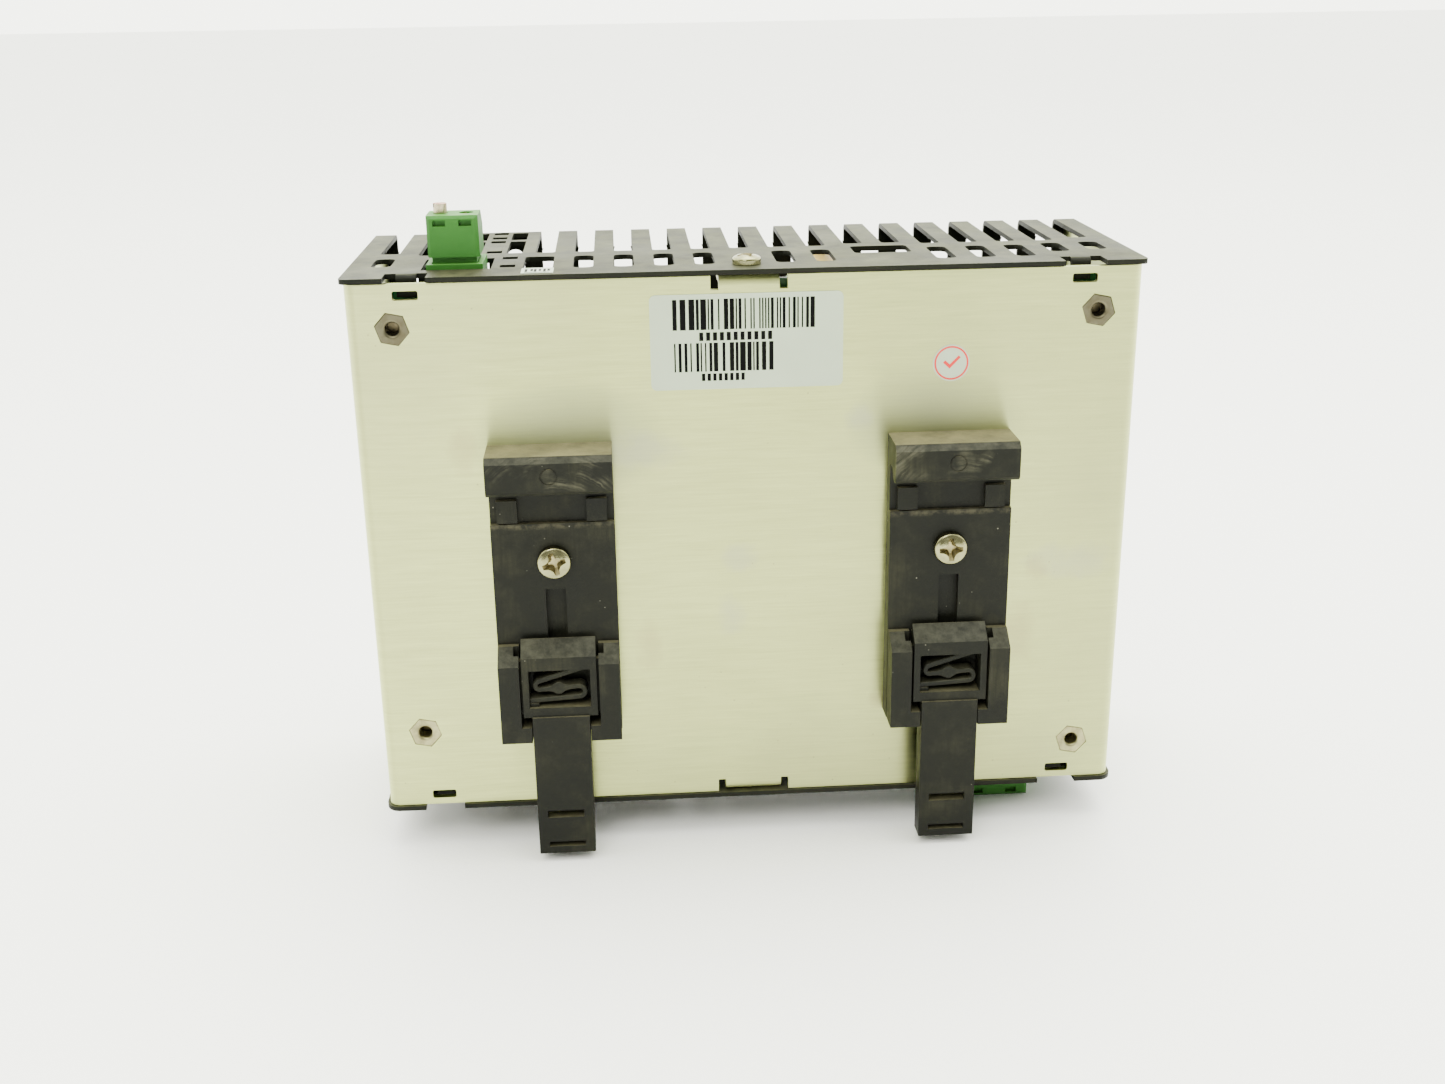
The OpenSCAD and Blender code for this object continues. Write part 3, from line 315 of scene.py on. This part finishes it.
def foot_plastic(name, seed, foot_x, lightening_on_top=1.0):
    """Black moulded plastic: dust on level faces, a thin film elsewhere, arched scuffs on the hook."""
    p = Paint(name, (0.02, 0.021, 0.017), rough=0.5, Specular_IOR_Level=0.12)
    shifted = p.node("ShaderNodeVectorMath", {0: p.coords, 1: (seed, 0, 0)}, operation="ADD").outputs[0]
    cloud = p.noise(75, 5, 0.65, shifted)
    fine = p.noise(420, 5, 0.7, shifted)
    streak = p.noise(1.0, 4, 0.6, p.stretch(1400, 1400, 70, shifted))
    base = p.mix(p.fit(cloud, 0.35, 0.7), (0.0045, 0.005, 0.0033), (0.010, 0.0105, 0.0065))
    film = p.math("MULTIPLY", p.fit(cloud, 0.48, 0.75), p.fit(streak, 0.35, 0.7, 0.2, 1.0))
    tone = p.mix(p.math("MULTIPLY", film, 0.2), base, (0.10, 0.095, 0.055))
    # Arched scuffs on the hook's front face, round a point below it
    z = p.axis("Z")
    middle = at(foot_x + 1, 0, 64)
    dx = p.math("SUBTRACT", p.axis("X"), middle.x)
    dz = p.math("SUBTRACT", z, middle.z)
    reach = p.math("SQRT", p.math("ADD", p.math("MULTIPLY", dx, dx), p.math("MULTIPLY", dz, dz)))
    reach = p.math("ADD", reach, p.math("MULTIPLY", fine, 0.0012))
    arcs_at = p.node("ShaderNodeCombineXYZ", {"X": p.math("MULTIPLY", reach, 1500.0), "Y": seed,
                                              "Z": p.math("MULTIPLY", dx, 60.0)}).outputs[0]
    arcs = p.fit(p.noise(1.0, 4, 0.7, arcs_at), 0.42, 0.72)
    front = p.fit(p.axis("Y"), at(0, -9.2, 0).y, at(0, -9.6, 0).y)
    band = p.math("MULTIPLY", p.fit(z, at(0, 0, 73.6).z, at(0, 0, 75.4).z), front)
    where = p.math("MULTIPLY", band, p.fit(p.noise(130, 3, 0.6, shifted), 0.45, 0.62))
    tone = p.mix(p.math("MULTIPLY", p.math("MULTIPLY", arcs, where), 0.5), tone, (0.15, 0.145, 0.095))
    # Dusty line at the step below the pads
    off_step = p.math("ABSOLUTE", p.math("SUBTRACT", z, at(0, 0, 65.1).z))
    line = p.math("MULTIPLY", p.fit(off_step, 0.0001, 0.0009, 1.0, 0.0), p.fit(fine, 0.42, 0.62))
    tone = p.mix(p.math("MULTIPLY", line, 0.24), tone, (0.17, 0.155, 0.09))
    specks = p.math("MULTIPLY", p.fit(p.voronoi(520.0, shifted), 0.06, 0.1, 1.0, 0.0),
                    p.fit(p.noise(170, 2, 0.5, shifted), 0.6, 0.64))
    tone = p.mix(p.math("MULTIPLY", specks, 0.35), tone, (0.34, 0.33, 0.26))
    sloped = p.math("MULTIPLY", p.facing_up(0.3, 0.75), p.fit(fine, 0.34, 0.66, 0.06, 0.36))
    tone = p.mix(sloped, tone, (0.10, 0.10, 0.07))
    level = p.math("MULTIPLY", p.facing_up(0.88, 0.98),
                   p.fit(p.noise(170, 5, 0.7, shifted), 0.3, 0.62, 0.45 * lightening_on_top, lightening_on_top))
    level = p.math("MULTIPLY", level, p.fit(z, at(0, 0, 77).z, at(0, 0, 79).z, 0.34, 1.0))
    p.put("Base Color", p.mix(level, tone, (0.17, 0.155, 0.082)))
    p.put("Roughness", p.fit(cloud, 0.3, 0.75, 0.42, 0.64))
    p.bump(p.noise(1900, 3, 0.6), 0.00004)
    return p.material


def green_plastic():
    """Moulded terminal green, paler on the faces that look up."""
    p = Paint("terminal_plastic", (0.035, 0.16, 0.015), rough=0.5, Specular_IOR_Level=0.14)
    cloud = p.noise(90, 4)
    base = p.mix(p.fit(cloud, 0.3, 0.7), (0.028, 0.125, 0.018), (0.040, 0.16, 0.026))
    # Faces that look up are made a paler green.
    paler_on_top = p.math("MULTIPLY", p.facing_up(0.8, 0.97), p.fit(p.noise(300, 4, 0.6), 0.3, 0.7, 0.1, 0.32))
    p.put("Base Color", p.mix(paler_on_top, base, (0.17, 0.45, 0.07)))
    p.put("Roughness", p.fit(cloud, 0.3, 0.7, 0.46, 0.58))
    p.bump(p.noise(2200, 2), 0.00003)
    return p.material


def metal(name, color, rough=0.3, tint=None):
    """Plated or turned metal with fine marks and slight stains."""
    p = Paint(name, color, metallic=1.0, rough=rough)
    cloud = p.noise(260, 4, 0.6)
    stain = tint or tuple(c * 0.72 for c in color)
    p.put("Base Color", p.mix(p.fit(cloud, 0.45, 0.75, 0.0, 0.6), color, stain))
    p.put("Roughness", p.fit(p.noise(900, 3), 0.3, 0.7, rough * 0.8, rough * 1.35))
    p.bump(p.noise(2400, 3), 0.00002)
    return p.material


def standoff_steel():
    """Plated steel, lighter and yellowish near the bottom of the unit, darker towards its top."""
    p = Paint("standoff_steel", (0.2, 0.19, 0.11), metallic=1.0, rough=0.38)
    cloud = p.noise(420, 4, 0.65)
    height = p.fit(p.axis("Z"), at(0, 0, 30).z, at(0, 0, 95).z)
    base = p.mix(height, (0.34, 0.32, 0.17), (0.105, 0.098, 0.062))
    p.put("Base Color", p.mix(p.fit(cloud, 0.42, 0.7, 0.0, 0.55), base, (0.075, 0.06, 0.032)))
    p.put("Roughness", p.fit(cloud, 0.3, 0.7, 0.3, 0.5))
    p.bump(p.noise(1800, 3), 0.00002)
    return p.material


def clamp_screw_metal():
    """Silvery shank with a copper coloured, slightly tarnished top."""
    p = Paint("clamp_screw_metal", (0.42, 0.36, 0.26), metallic=1.0, rough=0.3)
    cloud = p.noise(700, 4, 0.6)
    shank = p.mix(p.fit(cloud, 0.4, 0.7), (0.44, 0.39, 0.27), (0.30, 0.24, 0.15))
    top = p.mix(p.fit(cloud, 0.4, 0.7), (0.62, 0.27, 0.16), (0.42, 0.17, 0.10))
    p.put("Base Color", p.mix(p.facing_up(0.2, 0.6), shank, top))
    p.put("Roughness", p.fit(cloud, 0.3, 0.7, 0.22, 0.42))
    p.bump(p.noise(2200, 3), 0.00002)
    return p.material


def plain_plastic(name, color, rough=0.45, spread=0.2, grain=1800, gloss=0.4):
    """Moulded or dipped plastic with faint colour clouds and a fine moulded grain."""
    p = Paint(name, color, rough=rough, Specular_IOR_Level=gloss)
    cloud = p.noise(140, 4)
    p.put("Base Color", p.mix(p.fit(cloud, 0.3, 0.7), tuple(c * (1 - spread) for c in color),
                              tuple(min(1, c * (1 + spread)) for c in color)))
    p.put("Roughness", p.fit(p.noise(500, 3), 0.3, 0.7, rough * 0.85, rough * 1.2))
    p.bump(p.noise(grain, 3), 0.00004)
    return p.material


def paint_nodes():
    """Gives every CAD node its finish."""
    zinc = metal("zinc_plate", (0.62, 0.61, 0.54), 0.28)
    nickel = metal("nickel_plate", (0.28, 0.272, 0.145), 0.2, (0.13, 0.115, 0.05))
    tin = metal("tinned_contact", (0.72, 0.70, 0.62), 0.3)
    brass = metal("turned_brass", (0.72, 0.55, 0.26), 0.28)
    copper = clamp_screw_metal()
    steel = standoff_steel()
    dark_zinc = metal("screw_zinc", (0.16, 0.135, 0.08), 0.4, (0.08, 0.06, 0.03))
    green = green_plastic()
    black = plain_plastic("device_epoxy", (0.018, 0.018, 0.02), 0.4)
    board = plain_plastic("board_resist", (0.015, 0.11, 0.03), 0.35, 0.25)
    finishes = {
        "chassis": brushed_aluminium(),
        "cover": cover_paint(),
        "cover_screws": nickel,
        "clinch_standoffs": steel,
        "board_screws": dark_zinc,
        "main_board": board,
        "front_board": board,
        "insulation_sheet": plain_plastic("insulating_film", (0.75, 0.76, 0.70), 0.25, 0.05),
        "board_spacers": brass,
        "labels": plain_plastic("label_film", (0.40, 0.475, 0.345), 0.4, 0.03, 900),
        "transformer_core": plain_plastic("ferrite", (0.03, 0.03, 0.032), 0.6),
        "transformer_winding": plain_plastic("winding_tape", (0.66, 0.47, 0.06), 0.35),
        "bulk_capacitors": plain_plastic("can_sleeve", (0.012, 0.014, 0.035), 0.3),
        "output_capacitors": plain_plastic("can_sleeve_green", (0.012, 0.06, 0.04), 0.3),
        "choke_core": plain_plastic("core_coating", (0.16, 0.2, 0.13), 0.45),
        "choke_windings": metal("copper_wire", (0.62, 0.27, 0.10), 0.25),
        "output_inductor_winding": metal("inductor_wire", (0.66, 0.31, 0.12), 0.25),
        "output_inductor": plain_plastic("yellow_core", (0.55, 0.42, 0.08), 0.45),
        "primary_heatsink": metal("heatsink_aluminium", (0.66, 0.66, 0.64), 0.35),
        "primary_transistors": black,
        "secondary_diodes": black,
        "heatsink_screws": zinc,
        "bridge_rectifier": black,
        "fuse": plain_plastic("fuse_ceramic", (0.8, 0.79, 0.74), 0.4, 0.05),
        "fuse_clips": tin,
        "x_capacitor": plain_plastic("film_capacitor", (0.62, 0.44, 0.11), 0.4, 0.08),
        "varistor": plain_plastic("varistor_dip", (0.03, 0.10, 0.33), 0.3),
        "trim_pot_body": plain_plastic("trimmer_body", (0.03, 0.12, 0.36), 0.35),
        "trim_pot_rotor": plain_plastic("trimmer_rotor", (0.76, 0.73, 0.66), 0.4, 0.05),
        "status_leds": plain_plastic("lamp_lens", (0.12, 0.42, 0.08), 0.15, 0.1),
        "foot_screws": nickel,
        "foot_nuts": zinc,
        "signal_clamp_screw_left": copper,
        "signal_clamp_screw_right": copper,
    }
    finishes["secondary_heatsink"] = finishes["primary_heatsink"]
    for side, seed, foot_x in (("left", 0.0, -40.5), ("right", 3.7, 40.5)):
        finishes[side + "_foot_base"] = foot_plastic(side + "_foot_plastic", seed, foot_x)
        finishes[side + "_latch"] = foot_plastic(side + "_latch_plastic", seed + 1.3, foot_x)
        finishes[side + "_latch_spring"] = foot_plastic(side + "_spring_plastic", seed + 2.1, foot_x, 0.3)
    for terminal in ("signal", "ac", "dc"):
        finishes[terminal + "_header"] = green
        finishes[terminal + "_plug"] = green
        finishes[terminal + "_header_pins"] = tin
        finishes[terminal + "_clamps"] = zinc
    for name, node in NODES.items():
        finishes.setdefault(name, zinc)
        node.data.materials.clear()
        node.data.materials.append(finishes[name])
    return finishes


# ---------------------------------------------------------------- geometry

def soften_edges(width, *names, segments=2, angle=35):
    """Rounds the sharp edges of CAD nodes a little, so that they catch the light."""
    for name in names:
        node = NODES[name]
        weld = node.modifiers.new("weld", "WELD")
        weld.merge_threshold = 1e-6
        bevel = node.modifiers.new("bevel", "BEVEL")
        bevel.width = width * MM
        bevel.segments = segments
        bevel.limit_method = "ANGLE"
        bevel.angle_limit = math.radians(angle)
        bevel.use_clamp_overlap = True
        bevel.harden_normals = True


def place(x, y, z, *turns):
    """Matrix that puts a shape drawn in mm at a point of the drawing. Each turn is (degrees, axis)."""
    made = Matrix.Translation(at(x, y, z))
    for angle, axis in turns:
        made = made @ Matrix.Rotation(math.radians(angle), 4, axis)
    return made @ Matrix.Scale(MM, 4)


def add_rings(bm, rings, closed=False):
    """Joins rings of vertices with faces. A ring of one vertex is a pole."""
    pairs = list(zip(rings, rings[1:]))
    if closed:
        pairs.append((rings[-1], rings[0]))
    count = max(len(ring) for ring in rings)
    for low, high in pairs:
        for i in range(count):
            j = (i + 1) % count
            corners = [low[i % len(low)], low[j % len(low)], high[j % len(high)], high[i % len(high)]]
            bm.faces.new(list(dict.fromkeys(corners)))


def add_turned(bm, profile, matrix, segments=40):
    """Adds a turned shape about the local z axis. profile holds (radius, height) from axis to axis."""
    rings = []
    for radius, height in profile:
        if radius == 0:
            rings.append([bm.verts.new(matrix @ Vector((0, 0, height)))])
            continue
        turn = [2 * math.pi * i / segments for i in range(segments)]
        rings.append([bm.verts.new(matrix @ Vector((radius * math.cos(a), radius * math.sin(a), height)))
                      for a in turn])
    add_rings(bm, rings)


def add_prism(bm, outline, low, high, matrix, taper=1.0):
    """Adds an outline in local x and y, drawn out from height low to high. taper scales its low end."""
    bottom = [bm.verts.new(matrix @ Vector((x * taper, y * taper, low))) for x, y in outline]
    top = [bm.verts.new(matrix @ Vector((x, y, high))) for x, y in outline]
    add_rings(bm, [bottom, top])
    bm.faces.new(list(reversed(bottom)))
    bm.faces.new(top)


def add_bar(bm, x0, x1, y0, y1, low, high, matrix):
    add_prism(bm, [(x0, y0), (x1, y0), (x1, y1), (x0, y1)], low, high, matrix)


def add_tube(bm, points, radius, matrix, segments=10):
    """Adds a round wire along a line of points."""
    points = [Vector(p) for p in points]
    rings = []
    side = None
    for i, point in enumerate(points):
        ahead = (points[min(i + 1, len(points) - 1)] - points[max(i - 1, 0)]).normalized()
        side = side or ahead.orthogonal()
        side = (side - ahead * side.dot(ahead)).normalized()
        up = ahead.cross(side)
        turn = [2 * math.pi * k / segments for k in range(segments)]
        rings.append([bm.verts.new(matrix @ (point + radius * (math.cos(a) * side + math.sin(a) * up)))
                      for a in turn])
    add_rings(bm, rings)
    bm.faces.new(list(reversed(rings[0])))
    bm.faces.new(rings[-1])


def mesh_of(bm, name):
    bmesh.ops.recalc_face_normals(bm, faces=bm.faces)
    mesh = bpy.data.meshes.new(name)
    bm.to_mesh(mesh)
    bm.free()
    return mesh


def add_piece(name, mesh, finishes, body="root", smooth=35):
    """Shows a mesh as a piece that rides a body. With body None it is left unattached."""
    made = bpy.data.objects.new(name, mesh)
    bpy.context.collection.objects.link(made)
    if not mesh.materials:
        for finish in finishes:
            mesh.materials.append(finish)
    mesh.shade_smooth()
    mesh.set_sharp_from_angle(angle=math.radians(smooth))
    if body:
        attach(made, body)
    return made


def carved(solid, cutter, finishes):
    """Cuts one mesh out of another. The cut faces take the second finish."""
    for mesh in (solid, cutter):
        for finish in finishes:
            mesh.materials.append(finish)
    for face in cutter.polygons:
        face.material_index = 1
    pair = [bpy.data.objects.new("carving", mesh) for mesh in (solid, cutter)]
    for made in pair:
        bpy.context.collection.objects.link(made)
    cut = pair[0].modifiers.new("cut", "BOOLEAN")
    cut.operation = "DIFFERENCE"
    cut.solver = "EXACT"
    cut.object = pair[1]
    shaped = pair[0].evaluated_get(bpy.context.evaluated_depsgraph_get())
    result = bpy.data.meshes.new_from_object(shaped)
    for made in pair:
        bpy.data.objects.remove(made)
    return result


def screw_profile(r, h, shank, length, pitch):
    """Pan head with its seat at height 0 and a threaded shank below."""
    profile = [(0, -length), (shank * 0.72, -length), (shank * 0.84, -length + 0.3)]
    steps = int((length - 1.2) / pitch)
    for i in range(steps):
        low = -length + 0.4 + i * pitch
        profile += [(shank * 0.84, low), (shank, low + pitch * 0.45), (shank, low + pitch * 0.6)]
    profile += [(shank * 0.86, -0.6), (shank * 0.86, 0)]
    profile += [(r * 0.96, 0), (r, h * 0.05), (r * 0.985, h * 0.45)]
    for k in range(1, 9):
        angle = math.radians(80 * k / 8)
        profile.append((r * (0.8 + 0.185 * math.cos(angle)), h * (0.45 + 0.3 * math.sin(angle))))
    profile += [(r * 0.72, h * 0.83), (r * 0.6, h * 0.895), (r * 0.42, h * 0.955)]
    profile += [(r * 0.2, h * 0.99), (0, h)]
    return profile


def cross_outline(reach, half):
    """Cross recess with round inner corners, seen from above."""
    quarter = [(reach, -half), (reach, half)]
    for k in range(5):
        angle = math.radians(90 * k / 4)
        bow = reach * 0.5
        quarter.append((half * 1.1 + bow * (1 - math.sin(angle)),
                        half * 1.1 + bow * (1 - math.cos(angle))))
    outline = []
    for turn in range(4):
        c, s = round(math.cos(turn * math.pi / 2)), round(math.sin(turn * math.pi / 2))
        outline += [(c * x - s * y, s * x + c * y) for x, y in quarter]
    return outline


def cross_screws(name, node, finishes, r, h, shank, length, pitch, spots):
    """Screws with a cross recess. Each spot is (x, y, z, turns, angle of the cross)."""
    solid, cutter = bmesh.new(), bmesh.new()
    for x, y, z, turns, angle in spots:
        matrix = place(x, y, z, *turns, (angle, "Z"))
        add_turned(solid, screw_profile(r, h, shank, length, pitch), matrix, 48)
        add_prism(cutter, cross_outline(r * 0.86, r * 0.17), h * 0.2, h * 1.15, matrix, 0.42)
    mesh = carved(mesh_of(solid, name), mesh_of(cutter, name + "_cut"), finishes)
    mesh.name = name
    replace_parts(add_piece(name, mesh, finishes), node)


SPRING_Y = (-8.6, -5.4)


def spring_line():
    """Middle line of a latch spring as (u, z, thickness), u being the distance from the foot's middle."""
    line = []

    def straight(a, b, width, steps=12):
        for i in range(steps + 1):
            t = i / steps
            u, z = a[0] + (b[0] - a[0]) * t, a[1] + (b[1] - a[1]) * t
            line.append((u, z, width(u)))

    def arc(centre, radius, start, end, thick, steps=12):
        for i in range(1, steps):
            angle = math.radians(start + (end - start) * i / steps)
            u, z = centre[0] + radius * math.cos(angle), centre[1] + radius * math.sin(angle)
            line.append((u, z, thick))

    straight((4.75, 35.56), (-4.38, 32.76), lambda u: 1.05, 16)
    arc((-4.1, 31.85), 0.95, 107, 273.5, 1.0)
    straight((-4.04, 30.9), (3.93, 31.4), lambda u: 0.95 + 1.75 * math.exp(-((u + 0.2) / 1.25) ** 2), 26)
    arc((4, 30.25), 1.15, 93.5, -86.6, 1.0)
    straight((4.07, 29.1), (-6.2, 28.5), lambda u: 1.0, 16)
    return line


def latch_springs(finishes):
    """The two moulded springs between the foot and its latch."""
    chamfer = 0.14
    middle = (SPRING_Y[0] + SPRING_Y[1]) / 2
    deep = (SPRING_Y[1] - SPRING_Y[0]) / 2
    line = spring_line()
    for side, foot_x in (("left", -40.5), ("right", 40.5)):
        bm = bmesh.new()
        rings = []
        for i, (u, z, thick) in enumerate(line):
            before, after = line[max(i - 1, 0)], line[min(i + 1, len(line) - 1)]
            ahead = Vector((after[0] - before[0], after[1] - before[1])).normalized()
            out = Vector((-ahead.y, ahead.x))
            half = thick / 2
            section = [(half, -deep + chamfer), (half, deep - chamfer), (half - chamfer, deep),
                       (-half + chamfer, deep), (-half, deep - chamfer), (-half, -deep + chamfer),
                       (-half + chamfer, -deep), (half - chamfer, -deep)]
            rings.append([bm.verts.new(at(foot_x + u + out.x * a, middle + b, z + out.y * a))
                          for a, b in section])
        add_rings(bm, rings)
        bm.faces.new(list(reversed(rings[0])))
        bm.faces.new(rings[-1])
        name = side + "_latch_spring"
        spring = add_piece(side + "_spring_moulding", mesh_of(bm, name),
                           finishes[name], None)
        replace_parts(spring, name)
        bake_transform(spring)


BACK = ((90, "X"),)  # drawn shapes stand on the back plate, seen with x to the right and y up


def print_bars(bm, rng, x0, x1, low, high, matrix, ink):
    """A row of upright bars and gaps of mixed widths."""
    unit = 0.29
    x = x0
    while x < x1:
        wide = rng.choice((1, 1, 2, 2, 3, 4)) * unit
        add_bar(bm, x, min(x + wide, x1), low, high, *ink, matrix)
        x += wide + rng.choice((1, 1, 2, 3)) * unit


def print_marks(bm, x0, x1, low, high, count, matrix, ink):
    """A row of small blocks that stands for a line of print."""
    step = (x1 - x0) / count
    for i in range(count):
        left = x0 + i * step
        add_bar(bm, left, left + step * 0.6, low, high, *ink, matrix)


def label_prints():
    """Generic bars and marks on the labels: nothing on them can be read."""
    black = plain_plastic("label_ink", (0.002, 0.002, 0.002), 0.6, 0.2, gloss=0.05)
    red = plain_plastic("sticker_ink", (0.60, 0.03, 0.03), 0.5, 0.12, gloss=0.1)
    rng = random.Random(5)
    paper = 0.12
    ink = (paper - 0.01, paper + 0.012)
    bm = bmesh.new()
    face = place(0, 0, 0, *BACK)
    print_bars(bm, rng, -15.2, 13.4, 103.2, 109.3, face, ink)
    print_marks(bm, -10.0, 5.0, 101.0, 102.7, 11, face, ink)
    print_bars(bm, rng, -15.0, 5.1, 94.8, 100.6, face, ink)
    print_marks(bm, -9.6, -0.6, 92.9, 94.4, 8, face, ink)
    add_piece("label_print", mesh_of(bm, "label_print"), [black])
    bm = bmesh.new()
    spot = place(40.5, 0, 95.1, *BACK)
    turn = [2 * math.pi * i / 64 for i in range(64)]
    rings = [[bm.verts.new(spot @ Vector((r * math.cos(a), r * math.sin(a), h))) for a in turn]
             for r, h in ((3.1, ink[0]), (3.45, ink[0]), (3.45, ink[1]), (3.1, ink[1]))]
    add_rings(bm, rings, closed=True)
    tick = [(-1.7, 0.1), (-1.25, 0.55), (-0.35, -0.3), (1.45, 1.5), (1.85, 1.1), (-0.35, -1.15)]
    add_prism(bm, tick, *ink, spot)
    add_piece("sticker_print", mesh_of(bm, "sticker_print"), [red])
    bm = bmesh.new()
    top = place(0, 0, 115)
    for i, x in enumerate((-43.7, -42.6, -41.9, -41.0, -40.1, -39.3)):
        add_bar(bm, x, x + 0.5, 2.4 + 0.7 * (i % 2), 5.4, *ink, top)
    add_bar(bm, -43.7, -38.9, 1.5, 1.9, *ink, top)
    add_piece("small_label_print", mesh_of(bm, "small_label_print"), [black])
    bm = bmesh.new()
    wall = place(78.75, 0, 0, (90, "Y"), (90, "Z"))
    for row, z in enumerate(range(92, 18, -7)):
        print_marks(bm, 11, 26 + 4 * ((row * 5) % 4), z, z + 1.6, 14 + row % 3, wall, ink)
    add_bar(bm, 9, 48, 97.5, 98.0, *ink, wall)
    add_bar(bm, 9, 48, 17.4, 17.9, *ink, wall)
    add_piece("side_label_print", mesh_of(bm, "side_label_print"), [black])


BOARD_Y = 8.0


def small_parts():
    """Resistors, ceramic discs and small chips in the free areas of the main board."""
    rng = random.Random(11)
    body, wire, disc, chip = bmesh.new(), bmesh.new(), bmesh.new(), bmesh.new()
    bead = [(0, -3.1), (0.7, -3.1), (1.15, -2.8), (1.2, -2.2), (0.95, -1.8),
            (0.95, 1.8), (1.2, 2.2), (1.15, 2.8), (0.7, 3.1), (0, 3.1)]
    spots = [(34 + 7.5 * i, 96 + 7 * (i % 2)) for i in range(5)]
    spots += [(-12 + 8 * i, 14 + 6 * (i % 2)) for i in range(4)]
    spots += [(-56 + 7 * i, 92 + 5 * (i % 2)) for i in range(3)]
    for x, z in spots:
        y = BOARD_Y + 1.5
        add_turned(body, bead, place(x, y, z), 20)
        for end in (-1, 1):
            bend = [(0, 0, end * 3.0), (0, 0, end * 4.2), (0, -0.25, end * 4.7),
                    (0, -0.9, end * 4.9), (0, -1.6, end * 4.9)]
            add_tube(wire, bend, 0.28, place(x, y, z), 8)
    lens = [(0, -1.1), (1.6, -1.0), (2.9, -0.6), (3.3, 0), (2.9, 0.6), (1.6, 1.0), (0, 1.1)]
    for x, z in [(38, 88), (47, 88), (56, 88), (-36, 90), (-6, 92), (3, 96), (-30, 20)]:
        add_turned(disc, lens, place(x, BOARD_Y + 4.6, z, (rng.uniform(-8, 8), "Z")), 28)
        for side in (-1, 1):
            add_tube(wire, [(side * 1.3, 0, 0), (side * 1.3, -2.0, 0), (side * 1.27, -4.7, 0)], 0.25,
                     place(x, BOARD_Y + 4.6, z), 8)
    lug = bmesh.new()
    tongue = [(5.5, 106), (8.6, 106), (8.6, 112.0), (8.1, 112.5), (5.5, 112.5)]
    add_prism(lug, tongue, 0, 1.4, place(0, 4.4, 0, *BACK))
    for x, z in [(-2, 104), (62, 92), (8, 24)]:
        spot = place(x, BOARD_Y, z, (-90, "X"))
        add_bar(chip, -4.7, 4.7, -3.1, 3.1, 0.6, 3.8, spot)
        for i in range(4):
            for side in (-1, 1):
                left = -3.81 + 2.54 * i
                near, far = min(side * 3.0, side * 3.7), max(side * 3.0, side * 3.7)
                add_bar(wire, left - 0.3, left + 0.3, side * 3.6 - 0.15, side * 3.6 + 0.15,
                        0.05, 2.3, spot)
                add_bar(wire, left - 0.3, left + 0.3, near, far, 2.0, 2.3, spot)
    add_piece("resistor_bodies", mesh_of(body, "resistor_bodies"),
              [plain_plastic("resistor_lacquer", (0.42, 0.27, 0.14), 0.35)])
    add_piece("ceramic_discs", mesh_of(disc, "ceramic_discs"),
              [plain_plastic("disc_dip", (0.08, 0.16, 0.42), 0.35)])
    add_piece("board_lug", mesh_of(lug, "board_lug"),
              [plain_plastic("lug_resist", (0.02, 0.12, 0.03), 0.45)])
    add_piece("chip_bodies", mesh_of(chip, "chip_bodies"),
              [plain_plastic("chip_epoxy", (0.02, 0.02, 0.022), 0.45)])
    add_piece("part_leads", mesh_of(wire, "part_leads"),
              [metal("part_lead_tin", (0.7, 0.69, 0.62), 0.3)])


# ---------------------------------------------------------------- build

make_camera()
make_world()
make_floor()
make_light("key", (-0.4, -1.0, 1.1), (0, 0, 0.06), (0.6, 0.6), 13.0, (1, 1, 0.9))
make_light("top", (0.2, 0.2, 1.3), (0, 0, 0.04), (1.2, 1.0), 22.0, (1, 1, 0.92))
finishes = paint_nodes()
recess = metal("recess_stain", (0.30, 0.265, 0.14), 0.42, (0.15, 0.12, 0.06))
cross_screws("foot_screw_heads", "foot_screws", [finishes["foot_screws"], recess],
             3.5, 2.3, 1.95, 10.1, 0.7, [(-40.5, -4.5, 57.5, BACK, 17), (40.5, -4.5, 57.5, BACK, 3)])
cross_screws("cover_screw_heads", "cover_screws", [finishes["cover_screws"], recess],
             2.9, 2.0, 1.22, 5.0, 0.5, [(0, 6, 115, (), 24), (0, 6, 0, ((180, "X"),), 61)])
latch_springs({name: [finishes[name]] for name in finishes})
label_prints()
small_parts()
soften_edges(0.12, "cover", segments=1)
soften_edges(0.22, "left_foot_base", "right_foot_base", "left_latch", "right_latch")
soften_edges(0.09, "signal_plug", "ac_plug", "dc_plug", "signal_header", "ac_header", "dc_header")
soften_edges(0.28, "clinch_standoffs")
soften_edges(0.14, "board_spacers", "foot_nuts", "primary_heatsink", "secondary_heatsink", segments=1)
soften_edges(0.3, "x_capacitor", "bridge_rectifier", "bulk_capacitors", "output_capacitors")
